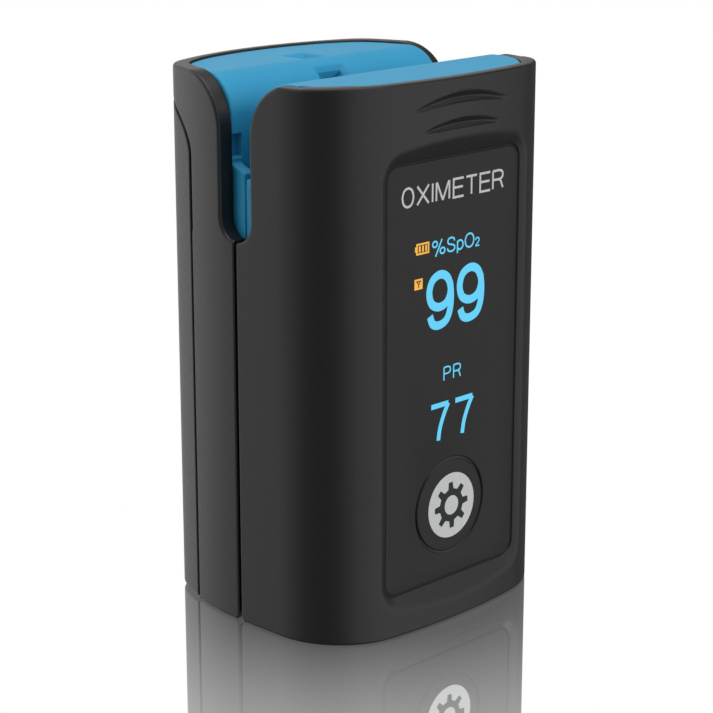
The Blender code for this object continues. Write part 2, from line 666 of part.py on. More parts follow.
def battery_pieces():
    left_foot = CELL_FOOT_Z
    right_foot = CELL_FOOT_Z - CELL_SPRING_ROOM
    top_plate_z = left_foot + CELL_LENGTH + 0.15
    plate_foot_z = right_foot - 0.45
    cells = [cell("battery_left", -CELL_X, left_foot, True), cell("battery_right", CELL_X, right_foot, False)]
    low = plate_foot_z + 0.3 + 0.35
    springs = [
        contact_spring("contact_spring_left", -CELL_X, low, left_foot - 0.35),
        contact_spring("contact_spring_right", CELL_X, top_plate_z - 0.35, right_foot + CELL_LENGTH + 0.35),
    ]
    plates = [
        box("contact_plate_left", (-9.4, 5.2, plate_foot_z), (-1.4, 12.6, plate_foot_z + 0.3)),
        box("contact_plate_right", (1.4, 5.2, plate_foot_z), (9.4, 12.6, plate_foot_z + 0.3)),
        box("contact_bridge", (-9.4, 5.2, top_plate_z), (9.4, 12.6, top_plate_z + 0.3)),
    ]
    for plate in plates:
        paint(plate, "#c9c9c6", 0.25, metallic=1.0)
    return cells + springs + plates


# ---- between the halves -------------------------------------------------------------------------
def hinge_pin():
    profile = [(PIN_R, -PIN_REACH), (PIN_R, PIN_REACH)]
    return paint(turned("hinge_pin", (0.0, PIN_Z), profile, "X", 16), "#b9babc", 0.25, metallic=1.0)


def torsion_spring(name, side):
    """A coil round the pin, with one leg up inside each half."""
    low, high = SPRING_X
    per_turn = 12
    front_leg = [(-2.4, 9.5), (-2.35, 5.6), (-1.1, 3.4)]
    back_leg = [(1.1, 3.4), (2.3, 5.6), (2.35, 9.5)]
    steps = int((SPRING_TURNS + 0.5) * per_turn)
    points = [(side * low, y, z) for y, z in front_leg]
    for i in range(steps + 1):
        angle = math.pi + 2 * math.pi * i / per_turn
        x = side * (low + (high - low) * i / steps)
        y = SPRING_COIL_R * math.cos(angle)
        points.append((x, y, PIN_Z + SPRING_COIL_R * math.sin(angle)))
    points += [(side * high, y, z) for y, z in back_leg]
    return paint(tube_along(name, points, SPRING_WIRE_R), "#c9c9c6", 0.3, metallic=1.0)


def flex_cable():
    """The ribbon from the main board to the emitter board, through the hinge end."""
    thick = 0.2
    path = [(-9.7, 6.65)] + arc((-7.2, 6.1), 2.5, 190, 265, 5)
    path += [(-4.0, 3.9), (-1.5, 4.6), (0.0, 4.9)] + arc((0.3, 7.1), 2.2, 275, 355, 5)
    path += [(2.55, 9.0), (2.6, 13.0), (2.95, 16.5), (2.95, 34.3)]
    left = []
    right = []
    for i, (y, z) in enumerate(path):
        before = path[max(i - 1, 0)]
        after = path[min(i + 1, len(path) - 1)]
        along = Vector((after[0] - before[0], after[1] - before[1])).normalized()
        left.append((y - along.y * thick / 2, z + along.x * thick / 2))
        right.append((y + along.y * thick / 2, z - along.x * thick / 2))
    return paint(prism("flex_cable", left + right[::-1], "X", -2.2, 2.2), "#b8772c", 0.4)


# ---- the whole object ---------------------------------------------------------------------------
clear_scene()
FRAME = add_empty("parting_plane", (0.0, PARTING_Y, 0.0))
JAW = add_empty("jaw_hinge_axis", (0.0, 0.0, PIN_Z), FRAME)
BUTTON = add_empty("button_axis", (0.0, PANEL_FACE_Y, BUTTON_Z), FRAME)
COVER = add_empty("cover_slide_axis", (0.0, COVER_EDGE_Y, 0.0), FRAME)

rear_housing()
rear_inner_cover()
rear_pad()
emitter_pieces()
rear_screws()
battery_pieces()
hinge_pin()
torsion_spring("torsion_spring_left", -1)
torsion_spring("torsion_spring_right", 1)
flex_cable()

jaw_pieces = [front_housing(), window_panel(), front_inner_cover(), front_pad()]
jaw_pieces += display_pieces() + board_pieces() + detector_pieces() + front_screws()
for piece in jaw_pieces:
    ride_on(piece, JAW)
for piece in (button_cap(), switch_plunger()):
    ride_on(piece, BUTTON)
ride_on(battery_cover(), COVER)
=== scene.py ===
"""Fingertip pulse oximeter: shells, silicone pads, window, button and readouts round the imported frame."""

import json
import math
from functools import lru_cache
from typing import NamedTuple

import bmesh
import bpy
from mathutils import Matrix, Vector, kdtree


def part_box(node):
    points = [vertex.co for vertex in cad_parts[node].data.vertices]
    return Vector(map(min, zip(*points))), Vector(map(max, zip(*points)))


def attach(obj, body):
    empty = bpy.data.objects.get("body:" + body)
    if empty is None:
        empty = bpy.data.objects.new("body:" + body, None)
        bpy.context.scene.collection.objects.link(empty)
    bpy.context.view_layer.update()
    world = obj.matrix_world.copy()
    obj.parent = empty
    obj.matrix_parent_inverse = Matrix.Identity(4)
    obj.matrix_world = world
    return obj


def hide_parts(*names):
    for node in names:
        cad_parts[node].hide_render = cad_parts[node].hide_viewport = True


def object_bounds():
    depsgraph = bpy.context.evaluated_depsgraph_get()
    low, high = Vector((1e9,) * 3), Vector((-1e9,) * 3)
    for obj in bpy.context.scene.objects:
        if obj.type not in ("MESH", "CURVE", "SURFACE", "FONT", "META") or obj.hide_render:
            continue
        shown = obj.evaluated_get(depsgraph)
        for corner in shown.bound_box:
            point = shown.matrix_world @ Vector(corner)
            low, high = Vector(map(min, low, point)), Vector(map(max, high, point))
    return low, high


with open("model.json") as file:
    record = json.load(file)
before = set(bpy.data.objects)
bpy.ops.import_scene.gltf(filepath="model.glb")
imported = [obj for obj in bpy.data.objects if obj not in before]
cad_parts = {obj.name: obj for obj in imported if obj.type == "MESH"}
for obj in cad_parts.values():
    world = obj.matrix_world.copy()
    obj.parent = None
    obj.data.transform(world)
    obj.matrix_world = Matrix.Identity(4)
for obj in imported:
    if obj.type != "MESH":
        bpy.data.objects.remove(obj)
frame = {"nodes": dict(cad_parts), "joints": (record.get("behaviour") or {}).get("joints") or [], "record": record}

CAD_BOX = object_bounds()
MM = 0.001

# ---- places and sizes read from the frame, in millimetres -----------------------------------------
JOINTS = {joint["name"]: joint for joint in frame["joints"]}
PARTING_Y = JOINTS["jaw_hinge"]["pos_m"][1] / MM
PIN_Z = JOINTS["jaw_hinge"]["pos_m"][2] / MM
HEIGHT = CAD_BOX[1][2] / MM
FRONT_DEPTH = PARTING_Y - CAD_BOX[0][1] / MM
BACK_DEPTH = CAD_BOX[1][1] / MM - PARTING_Y


def node_box(node):
    """A CAD node's corners in millimetres, with Y measured from the parting plane."""
    low, high = (Vector(corner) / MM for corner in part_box(node))
    shift = Vector((0.0, PARTING_Y, 0.0))
    return low - shift, high - shift


PANEL_LOW, PANEL_HIGH = node_box("window_panel")
CAP_LOW, CAP_HIGH = node_box("button_cap")
PANEL_FACE_Y = PANEL_LOW.y
PANEL_HALF_X = PANEL_HIGH.x
PANEL_MID_Z = (PANEL_LOW.z + PANEL_HIGH.z) / 2
PANEL_HALF_Z = (PANEL_HIGH.z - PANEL_LOW.z) / 2
BUTTON_Z = (CAP_LOW.z + CAP_HIGH.z) / 2

# ---- sizes that the shells share ------------------------------------------------------------------
END_WALL = 2.0
PARTING_HALF_GAP = 0.22
FOOT_ROUND_R = 0.8
SLOT_ROUND_Z = 43.98
SLOT_EDGE = {-1: 2.35, 1: 2.25}
FLARE_Y = {-1: 8.2, 1: 8.03}
FLARE_STOP = 0.01  # the flare meets the rim this little short of level
RIM_ROUND = 0.34
SEAM_ROUND = 0.16
BASE_ROUND = 0.35
INNER_ROUND = 0.15
RIM_DROOP = 0.28
PANEL_CORNER_R = 1.5
GROOVE = 0.26
COVER_EDGE_Y = 7.92
COVER_HALF_X = 16.4
COVER_ARCH_Z = 49.5
COVER_ARCH_X = 4.0
COVER_ARCH_RISE = 6.0
COVER_THICK = 1.1
COVER_GAP = 0.15


# ---- small maths ----------------------------------------------------------------------------------
def clamp(value, low=0.0, high=1.0):
    return min(max(value, low), high)


def ease(value, low, high):
    """Smooth step from 0 at low to 1 at high."""
    t = clamp((value - low) / (high - low))
    return t * t * (3 - 2 * t)


def soft_min(a, b, blend):
    """The lower of two heights, with a fillet where they cross."""
    t = clamp(0.5 + 0.5 * (b - a) / blend)
    return b + (a - b) * t - blend * t * (1 - t)


def spans(*parts):
    """Sorted grid lines from (start, stop, step) spans."""
    found = set()
    for start, stop, step in parts:
        count = max(1, round((stop - start) / step))
        found |= {round(start + (stop - start) * i / count, 4) for i in range(count + 1)}
    lines = sorted(found)
    kept = [lines[0]]
    for line in lines[1:]:
        if line - kept[-1] > 0.008:
            kept.append(line)
    return kept


def merged(lines, least=0.01):
    """Sorted lines with near repeats dropped, keeping both ends."""
    kept = []
    for line in sorted(lines):
        if not kept or line - kept[-1] > least:
            kept.append(line)
    kept[-1] = max(lines)
    return kept


def both_sides(lines):
    return sorted({-line for line in lines} | set(lines))


def rounded_distance(x, z, half_x, half_z, radius):
    """Distance from a rounded rectangle centred on (0, 0), negative inside."""
    over_x = abs(x) - half_x + radius
    over_z = abs(z) - half_z + radius
    outside = math.hypot(max(over_x, 0.0), max(over_z, 0.0))
    return outside + min(max(over_x, over_z), 0.0) - radius


# ---- the case halves: three arcs from the middle of the face round to the parting plane ------------
class Half(NamedTuple):
    side: int
    depth: float
    reach: float
    arcs: tuple


def make_half(side, depth, face, corner, flank):
    """Each arc is (radius, lean where it ends). Leans are measured from straight out of the face."""
    arcs = []
    start, lean, centre, last_r = 0.0, 0.0, (0.0, depth), 0.0
    for radius, end in (face, corner, flank):
        turn = last_r - radius
        centre = (centre[0] + turn * math.sin(lean), centre[1] + turn * math.cos(lean))
        arcs.append((start, lean, radius, centre))
        start += radius * (end - lean)
        lean, last_r = end, radius
    return Half(side, depth, start, tuple(arcs))


FRONT = make_half(-1, FRONT_DEPTH, (69.9, 0.1398), (8.96, 1.5508), (317.6, 1.5708))
BACK = make_half(1, BACK_DEPTH, (34.87, 0.3668), (4.82, 1.1708), (29.07, 1.5708))
# The wall goes straight in up to the first x, and along the normal past the second.
STRAIGHT_X = (11.7, 14.5)


@lru_cache(maxsize=None)
def surface(half, u):
    """(x, y, lean) of the outer face at arc length u from its middle, with y away from the parting plane."""
    along = abs(u)
    start, lean, radius, centre = [arc for arc in half.arcs if arc[0] <= along + 1e-9][-1]
    turn = lean + (along - start) / radius
    x = centre[0] + radius * math.sin(turn)
    return math.copysign(x, u), centre[1] + radius * math.cos(turn), turn


@lru_cache(maxsize=None)
def length_at(half, target, pick):
    """Arc length at which surface() gives this x (pick 0) or y (pick 1)."""
    low, high = 0.0, half.reach
    for _ in range(40):
        middle = (low + high) / 2
        value = surface(half, middle)[pick]
        if (value < target) == (pick == 0):
            low = middle
        else:
            high = middle
    return (low + high) / 2


def wall_at(half, x):
    """Wall thickness: full at the sides, thinner across the face and the back."""
    if half.side < 0:
        return 1.45 + 0.35 * ease(abs(x), 12.0, 16.0)
    return 1.2 + 0.6 * ease(abs(x), 8.0, 15.0)


def place(half, u, z, w):
    """World point, in metres, at depth w under the outer face."""
    x, y, lean = surface(half, u)
    if half.side < 0:
        lean *= ease(abs(x), *STRAIGHT_X)
    x -= math.copysign(w * math.sin(lean), u)
    y -= w * math.cos(lean)
    return Vector((x * MM, (PARTING_Y + half.side * y) * MM, z * MM))


def side_edge(half, z):
    """How far from the parting plane the wall ends at this height: foot, parting line, slot and flare."""
    edge = SLOT_EDGE[half.side]
    flare_r = FLARE_Y[half.side] - edge
    if z < FOOT_ROUND_R:
        drop = FOOT_ROUND_R - z
        return PARTING_HALF_GAP + FOOT_ROUND_R - math.sqrt(FOOT_ROUND_R**2 - drop**2)
    if z < SLOT_ROUND_Z:
        drop = SLOT_ROUND_Z - z
        return max(PARTING_HALF_GAP, math.sqrt(max(edge**2 - drop**2, 0.0)))
    rise = min(z - (HEIGHT - flare_r), flare_r)
    if rise <= 0:
        return edge
    return edge + flare_r - math.sqrt(max((flare_r + FLARE_STOP) ** 2 - rise**2, 0.0)) + FLARE_STOP


# ---- what every mesh is made with ---------------------------------------------------------------------
def in_scene(name, data):
    obj = bpy.data.objects.new(name, data)
    bpy.context.scene.collection.objects.link(obj)
    return obj


def add_object(name, bm, material, smooth_angle):
    """An object from the mesh, shaded smooth, with sharp edges past the angle unless it is None."""
    bmesh.ops.recalc_face_normals(bm, faces=bm.faces[:])
    mesh = bpy.data.meshes.new(name)
    bm.to_mesh(mesh)
    bm.free()
    mesh.shade_smooth()
    if smooth_angle:
        mesh.set_sharp_from_angle(angle=math.radians(smooth_angle))
    mesh.materials.append(material)
    return in_scene(name, mesh)


def extruded(bm, step=(0, 0, 0), faces=None):
    """Extrudes the faces, or all of them, by a step, and gives back the moved vertices."""
    made = bmesh.ops.extrude_face_region(bm, geom=faces or bm.faces[:], use_keep_orig=True)
    moved = [item for item in made["geom"] if isinstance(item, bmesh.types.BMVert)]
    bmesh.ops.translate(bm, verts=moved, vec=step)
    return moved


def closed_loop(bm, points):
    """Edges through the points and back to the first."""
    verts = [bm.verts.new(point) for point in points]
    return [bm.edges.new(pair) for pair in zip(verts, verts[1:] + verts[:1])]


# ---- turning a flat grid into a shell -----------------------------------------------------------------


def flat_grid(columns, rows, warp, keep):
    """A grid whose lines are pulled to (u, z) places by warp, without the cells that keep refuses."""
    bm = bmesh.new()
    bmesh.ops.create_grid(bm, x_segments=len(columns) - 1, y_segments=len(rows) - 1, size=0.5)
    for vert in bm.verts:
        i = round((vert.co.x + 0.5) * (len(columns) - 1))
        j = round((vert.co.y + 0.5) * (len(rows) - 1))
        vert.co = (columns[i], rows[j], 0.0)
    if keep:
        gone = [face for face in bm.faces if not keep(*face.calc_center_median()[:2])]
        bmesh.ops.delete(bm, geom=gone, context="FACES")
    for vert in bm.verts:
        vert.co = (*warp(vert.co.x, vert.co.y), 0.0)
    return bm


def edge_tree(bm, step=0.02):
    """A search tree over closely spaced points along the grid's open edges."""
    points = []
    for edge in bm.edges:
        if edge.is_boundary:
            a, b = (vert.co for vert in edge.verts)
            count = max(1, math.ceil((b - a).length / step))
            points += [a.lerp(b, i / count) for i in range(count)]
    tree = kdtree.KDTree(len(points))
    for i, point in enumerate(points):
        tree.insert(point, i)
    tree.balance()
    return tree


def rounding(distance, radius):
    """How far a rounded edge has dropped at this distance from the edge."""
    if distance >= radius:
        return 0.0
    return radius - math.sqrt(max(radius**2 - (radius - distance) ** 2, 0.0))


def shell(name, half, columns, rows, warp, wall, round_at, relief=None, keep=None):
    """A moulded wall that follows the half's outline, with rounded edges all round."""
    bm = flat_grid(columns, rows, warp, keep)
    tree = edge_tree(bm)
    inner = set(extruded(bm))
    for vert in bm.verts:
        u, z = vert.co.x, vert.co.y
        spot, _, distance = tree.find(vert.co)
        if vert in inner:
            w = wall(half, surface(half, u)[0]) - rounding(distance, INNER_ROUND)
        else:
            w = rounding(distance, round_at(spot.y))
            w += relief(u, z) if relief else 0.0
        vert.co = place(half, u, z, w)
    return add_object(name, bm, SHELL, smooth_angle=None)


def to_edge(half, start, reach):
    """A warp that pulls the outer columns in to the wall's edge, and droops the rim at the sides."""
    start_u = length_at(half, start, 1)

    def warp(u, z):
        z -= RIM_DROOP * (1 - ease(surface(half, u)[1], 7.0, 14.0)) * ease(z, 50.0, HEIGHT)
        if abs(u) <= start_u:
            return u, z
        end = length_at(half, round(side_edge(half, z), 4), 1)
        share = (abs(u) - start_u) / (reach - start_u)
        return math.copysign(start_u + (end - start_u) * share, u), z

    return warp


def near_edge_lines(edge, inwards):
    """Lines that close up on an edge, for its rounding."""
    steps = (0.0, 0.012, 0.045, 0.1, 0.17, 0.26, 0.36, 0.5, 0.75, 1.1, 1.6)
    return [edge + inwards * step for step in steps]


# ---- colours and materials --------------------------------------------------------------------------
def linear(hex_colour, alpha=1.0):
    """An sRGB hex colour as linear values."""
    channels = [int(hex_colour[i : i + 2], 16) / 255 for i in (1, 3, 5)]
    return tuple(c / 12.92 if c <= 0.04045 else ((c + 0.055) / 1.055) ** 2.4 for c in channels) + (alpha,)


def add_node(tree, kind, settings=None, **links):
    """Adds a node. settings go on the node, or on its input of that name. links come from other sockets, to
    the input of that name, or as _2 to the input of that number."""
    node = tree.nodes.new(kind)
    for key, value in (settings or {}).items():
        if hasattr(node, key):
            setattr(node, key, value)
        else:
            node.inputs[key].default_value = value
    for key, socket in links.items():
        numbered = key[0] == "_"
        tree.links.new(socket, node.inputs[int(key[1:]) if numbered else key.replace("_", " ")])
    return node


def new_material(name):
    material = bpy.data.materials.new(name)
    material.use_nodes = True
    tree = material.node_tree
    shader = tree.nodes["Principled BSDF"]
    return material, tree, shader


def grained(name, dark, light, roughness, grain_mm, bump_mm, spread=0.06, **shader_values):
    """A material with a fine moulded grain: colour drifts between two hex values, and roughness with it."""
    material, tree, shader = new_material(name)
    for key, value in shader_values.items():
        shader.inputs[key.replace("_", " ")].default_value = value
    coords = add_node(tree, "ShaderNodeTexCoord").outputs["Object"]
    broad = add_node(tree, "ShaderNodeTexNoise", {"Scale": 1 / (9 * MM), "Detail": 2.0}, Vector=coords)
    grain = {"Scale": 1 / (grain_mm * MM), "Detail": 3.0, "Roughness": 0.6}
    fine = add_node(tree, "ShaderNodeTexNoise", grain, Vector=coords)
    ramp = add_node(tree, "ShaderNodeMix", {"data_type": "RGBA"})
    ramp.inputs[6].default_value = linear(dark)
    ramp.inputs[7].default_value = linear(light)
    tree.links.new(broad.outputs["Fac"], ramp.inputs[0])
    tree.links.new(ramp.outputs[2], shader.inputs["Base Color"])
    sheen = {"From Min": 0.3, "From Max": 0.7, "To Min": roughness - spread, "To Max": roughness + spread}
    rough = add_node(tree, "ShaderNodeMapRange", sheen, Value=fine.outputs["Fac"])
    tree.links.new(rough.outputs["Result"], shader.inputs["Roughness"])
    relief = {"Strength": 1.0, "Distance": bump_mm * MM}
    bump = add_node(tree, "ShaderNodeBump", relief, Height=fine.outputs["Fac"])
    tree.links.new(bump.outputs["Normal"], shader.inputs["Normal"])
    return material


def printed(name, colour, glow=0.0):
    """Screen-printed ink, or the lit dots of the display behind the panel."""
    material, tree, shader = new_material(name)
    coords = add_node(tree, "ShaderNodeTexCoord").outputs["Object"]
    speckle = add_node(tree, "ShaderNodeTexNoise", {"Scale": 1 / (0.35 * MM), "Detail": 2.0}, Vector=coords)
    tint = add_node(tree, "ShaderNodeMix", {"data_type": "RGBA"}, _0=speckle.outputs["Fac"])
    full = linear(colour)
    tint.inputs[6].default_value = full
    tint.inputs[7].default_value = (full[0] * 0.93, full[1] * 0.93, full[2] * 0.93, 1.0)
    shader.inputs["Roughness"].default_value = 0.5
    shader.inputs["Specular IOR Level"].default_value = 0.2
    if glow:
        shader.inputs["Base Color"].default_value = linear("#0c0c0c")
        shader.inputs["Emission Strength"].default_value = glow
        tree.links.new(tint.outputs[2], shader.inputs["Emission Color"])
    else:
        tree.links.new(tint.outputs[2], shader.inputs["Base Color"])
    return material


# Matte ABS from a spark-eroded mould: near black, with a soft broad sheen. The real grain is about
# 0.05 mm; it is drawn at 0.22 mm so that it just shows.
SHELL = grained("moulded_abs_black", "#131313", "#171717", 0.42, 0.22, 0.004)
# The window is a tinted sheet, hard-coated matte, a touch smoother and greyer than the shell.
PANEL = grained("coated_sheet_black", "#131313", "#151515", 0.38, 0.3, 0.0015, 0.03, Specular_IOR_Level=0.33)
# Moulded button, same resin as the shell with a finer polish.
CAP = grained("moulded_abs_button", "#131313", "#151515", 0.38, 0.22, 0.002, 0.03, Specular_IOR_Level=0.33)
# Painted shade: a near-black bead, darker than the shell, set in the groove round the window so that the groove
# reads as a dark shaded line.
GROOVE_SHADE = grained("painted_groove_shade_black", "#060606", "#080808", 0.7, 0.3, 0.004)
# Unpolished ABS inside the clip: darker, drier.
INNER = grained("moulded_abs_inner", "#0c0c0d", "#121213", 0.55, 0.25, 0.006)
# Liquid silicone rubber, matt from a blasted mould.
PAD = grained("silicone_rubber_blue", "#2b91b9", "#3197c1", 0.56, 0.25, 0.012, Specular_IOR_Level=0.35)
# Screen-printed inks, then the display's lit and unlit areas.
INK = printed("screen_ink_grey", "#c6c8c8")
ICON = printed("screen_ink_light", "#c6c8c8")
ICON_DARK = printed("screen_ink_dark", "#2b2e2e")
CYAN = printed("display_cyan", "#66d3fb", 1.0)
AMBER = printed("display_amber", "#fbb94f", 1.0)
AMBER_DARK = printed("display_amber_off", "#3a2f1c")
STEEL = grained("spring_steel", "#8a8c8f", "#a6a8ab", 0.28, 0.5, 0.002, 0.06, Metallic=1.0)
BOARD = grained("glass_epoxy_green", "#14492f", "#1b5a3c", 0.45, 0.4, 0.006)
CHIP = grained("epoxy_package_black", "#101012", "#18181a", 0.5, 0.2, 0.006)
WHITE = grained("moulded_nylon_white", "#d2d0c6", "#dedcd2", 0.5, 0.3, 0.004)
GLASS = grained("display_glass_dark", "#07080a", "#0a0c10", 0.12, 0.5, 0.0005, 0.02)
LENS = grained("filter_window_red", "#4a1a18", "#5a211e", 0.14, 0.5, 0.0005, 0.02)
JACKET = grained("printed_film_green", "#1f5c3c", "#27704a", 0.34, 0.6, 0.002, 0.05, Metallic=0.25)
FLEX = grained("polyimide_amber", "#a0641f", "#b97a2c", 0.35, 0.5, 0.003, 0.04)
NODE_MATERIALS = {
    "inner_black": INNER,
    "display_glass": GLASS,
    "holder_white": WHITE,
    "circuit_board": BOARD,
    "chip_black": CHIP,
    "bright_metal": STEEL,
    "clear_window": LENS,
    "cell_jacket": JACKET,
    "flex_amber": FLEX,
}


# ---- display-side shell -----------------------------------------------------------------------------
SLOPE_FOOT = 0.06  # the slope starts this little proud of the window's face
SLOPE_SIDE = 0.95
SLOPE_RISE = 1.0
SLOPE_REACH = 4.0  # past this distance from the window the face is plain
RIM_X = PANEL_HALF_X + 0.5
TRAY = 0.6
# Each grip's half width, then the heights of its lower and upper edge, each at the ends and in the middle.
GRIPS = (
    (6.75, (55.33, 55.86), (55.7, 57.05)),
    (5.45, (53.14, 53.23), (53.5, 54.4)),
)
GRIP_DEPTH = 0.5
GRIP_LIP = 0.07  # how soon the floor drops behind the lower edge
GRIP_SILL = 0.3  # share of the full depth just behind that edge
GRIP_FALL = 0.45  # share of the height over which the floor falls back
GRIP_WALL = 0.52  # share of the height that the upper wall takes


def grip_depth(x, z):
    """Depth of the finger grips: a floor that falls back upwards, and a steep wall above it."""
    deepest = 0.0
    for half_x, lower, upper in GRIPS:
        share = 1 - (x / half_x) ** 2
        if share <= 0:
            continue
        low = lower[0] + (lower[1] - lower[0]) * share
        high = upper[0] + (upper[1] - upper[0]) * share
        up = (z - low) / (high - low)
        if 0 < up < 1:
            full = GRIP_DEPTH * share**0.5
            floor = full * (GRIP_SILL + (1 - GRIP_SILL) * clamp(up / GRIP_FALL)) * clamp((z - low) / GRIP_LIP)
            deepest = max(deepest, min(floor, full * (1 - up) / GRIP_WALL))
    return deepest


def window_relief(x, y_out, z):
    """Depth under the outer face of the window's tray, its groove and the slopes up to the face."""
    gap = rounded_distance(x, z - PANEL_MID_Z, PANEL_HALF_X, PANEL_HALF_Z, PANEL_CORNER_R)
    if gap > SLOPE_REACH:
        return 0.0
    face = -PANEL_FACE_Y
    if gap < GROOVE:
        wall_share = ease(gap, GROOVE - 0.06, GROOVE)
        return y_out - (face - TRAY) * (1 - wall_share) - (face + SLOPE_FOOT) * wall_share
    ends = ease(abs(z - PANEL_MID_Z), PANEL_HALF_Z - PANEL_CORNER_R, PANEL_HALF_Z)
    width = SLOPE_SIDE + SLOPE_RISE * max(0.0, 1 - (x / RIM_X) ** 2) * ends
    climb = face + SLOPE_FOOT + (y_out - face - SLOPE_FOOT) * (gap - GROOVE) / width
    return y_out - soft_min(climb, y_out, 0.1 + 0.15 * ends)


def front_relief(u, z):
    x, y, _ = surface(FRONT, u)
    if abs(x) > STRAIGHT_X[0]:
        return 0.0
    return window_relief(x, y, z) + grip_depth(x, z)


def edge_radius(z):
    """Rounding of a case half's edges: generous round the mouth, fine along the seam."""
    if z < 0.05:
        return BASE_ROUND
    if z < SLOT_ROUND_Z - 2.4:
        return SEAM_ROUND
    return RIM_ROUND


def front_shell():
    lines = spans((0, 8.6, 0.43), (8.6, 9.9, 0.1), (9.9, 10.35, 0.055), (10.35, 11.7, 0.09), (11.7, 12.3, 0.3))
    columns = [0.0] + [length_at(FRONT, x, 0) for x in lines[1:]]
    reach = length_at(FRONT, PARTING_HALF_GAP, 1)
    columns += spans((columns[-1], reach - 1.7, 0.6))[1:] + near_edge_lines(reach, -1)
    columns = both_sides(sorted(set(columns)))
    flare_r = FLARE_Y[-1] - SLOT_EDGE[-1]
    flare = [HEIGHT - flare_r + flare_r * math.sin(math.pi / 2 * i / 16) for i in range(17)]
    rows = set(near_edge_lines(0.0, 1)) | set(near_edge_lines(HEIGHT, -1)) | set(flare)
    rows |= set(spans((1.6, 4.0, 0.13), (4.0, 4.7, 0.055), (4.7, 6.3, 0.1), (6.3, 41.0, 2.2)))
    rows |= set(spans((41.0, 41.9, 0.07), (41.9, 44.2, 0.2), (44.2, 48.4, 0.9), (48.4, 49.9, 0.1)))
    rows |= set(spans((49.9, 50.6, 0.055), (50.6, 52.4, 0.1), (52.4, 57.0, 0.075)))
    pull = to_edge(FRONT, 9.4, reach)
    return shell("display_shell", FRONT, columns, merged(rows), pull, wall_at, edge_radius, front_relief)


# ---- battery-side shell and its sliding cover ---------------------------------------------------------
def arch(u, seam, grow):
    """Height of the cover's top edge at arc length u, for the piece whose side edge lies at seam."""
    start = COVER_HALF_X - COVER_ARCH_X
    share = (surface(BACK, abs(u))[0] - start) / (surface(BACK, seam)[0] - start)
    rise = COVER_ARCH_RISE + grow
    return COVER_ARCH_Z + rise * math.sqrt(clamp(1 - max(share, 0.0) ** 2))


def rear_shell():
    reach = length_at(BACK, PARTING_HALF_GAP, 1)
    seam = length_at(BACK, COVER_EDGE_Y - COVER_GAP, 1)
    flat = length_at(BACK, COVER_HALF_X - COVER_ARCH_X, 0)
    columns = set(spans((0, flat, 0.6)))
    columns |= {flat + (seam - flat) * math.sin(math.pi / 2 * i / 18) for i in range(19)}
    columns |= set(near_edge_lines(seam, 1)) | set(near_edge_lines(reach, -1))
    columns |= set(spans((seam + 1.6, reach - 1.6, 0.6)))
    columns = both_sides(merged(columns))
    flare_r = FLARE_Y[1] - SLOT_EDGE[1]
    rows = set(near_edge_lines(0.0, 1)) | set(near_edge_lines(HEIGHT, -1))
    rows |= set(near_edge_lines(COVER_ARCH_Z, 1))
    rows |= {HEIGHT - flare_r + flare_r * math.sin(math.pi / 2 * i / 14) for i in range(15)}
    rows |= set(spans((1.6, 41.0, 2.4), (41.0, 42.0, 0.09), (42.0, 44.2, 0.2), (44.2, 49.5, 0.9)))
    rows |= set(spans((51.1, 57.0, 0.4)))

    def warp(u, z):
        if abs(u) <= seam + 1e-6:
            if z < COVER_ARCH_Z - 1e-6:
                return u, z
            low = arch(u, seam, COVER_GAP)
            return u, low + (z - COVER_ARCH_Z) * (HEIGHT - low) / (HEIGHT - COVER_ARCH_Z)
        end = length_at(BACK, side_edge(BACK, z), 1)
        share = (abs(u) - seam) / (reach - seam)
        return math.copysign(seam + (end - seam) * share, u), z

    def keep(u, z):
        return abs(u) > seam or z > COVER_ARCH_Z

    return shell("battery_shell", BACK, columns, merged(rows), warp, wall_at, edge_radius, keep=keep)


RIBS = (8.0, 20.0)
RIB_PITCH = 2.0
RIB_HALF_X = 7.0
RIB_DEPTH = 0.35


def door():
    """The sliding battery cover, with a row of thumb ribs near its foot."""
    seam = length_at(BACK, COVER_EDGE_Y + COVER_GAP, 1)
    flat = length_at(BACK, COVER_HALF_X - COVER_ARCH_X, 0)
    low = 0.3
    top = COVER_ARCH_Z + COVER_ARCH_RISE - COVER_GAP
    columns = set(spans((0, flat, 0.6))) | set(near_edge_lines(seam, -1))
    columns |= {flat + (seam - flat) * math.sin(math.pi / 2 * i / 18) for i in range(19)}
    rows = set(near_edge_lines(low, 1)) | set(near_edge_lines(top, -1))
    rows |= set(spans((1.9, 7.5, 1.4), (7.5, 20.5, 0.13), (20.5, 53.7, 3.0)))

    def warp(u, z):
        edge = arch(u, seam, -COVER_GAP)
        return u, low + (z - low) * (edge - low) / (top - low)

    def ribs(u, z):
        x = surface(BACK, u)[0]
        if not RIBS[0] < z < RIBS[1] or abs(x) > RIB_HALF_X:
            return 0.0
        wave = 0.5 - 0.5 * math.cos(2 * math.pi * (z - RIBS[0]) / RIB_PITCH)
        return RIB_DEPTH * ease(wave, 0.35, 0.9) * (1 - ease(abs(x), RIB_HALF_X - 0.8, RIB_HALF_X))

    return shell(
        "battery_door",
        BACK,
        both_sides(merged(columns)),
        merged(rows),
        warp,
        lambda half, x: COVER_THICK,
        lambda z: BASE_ROUND if z < low + 0.05 else SEAM_ROUND,
        ribs,
    )


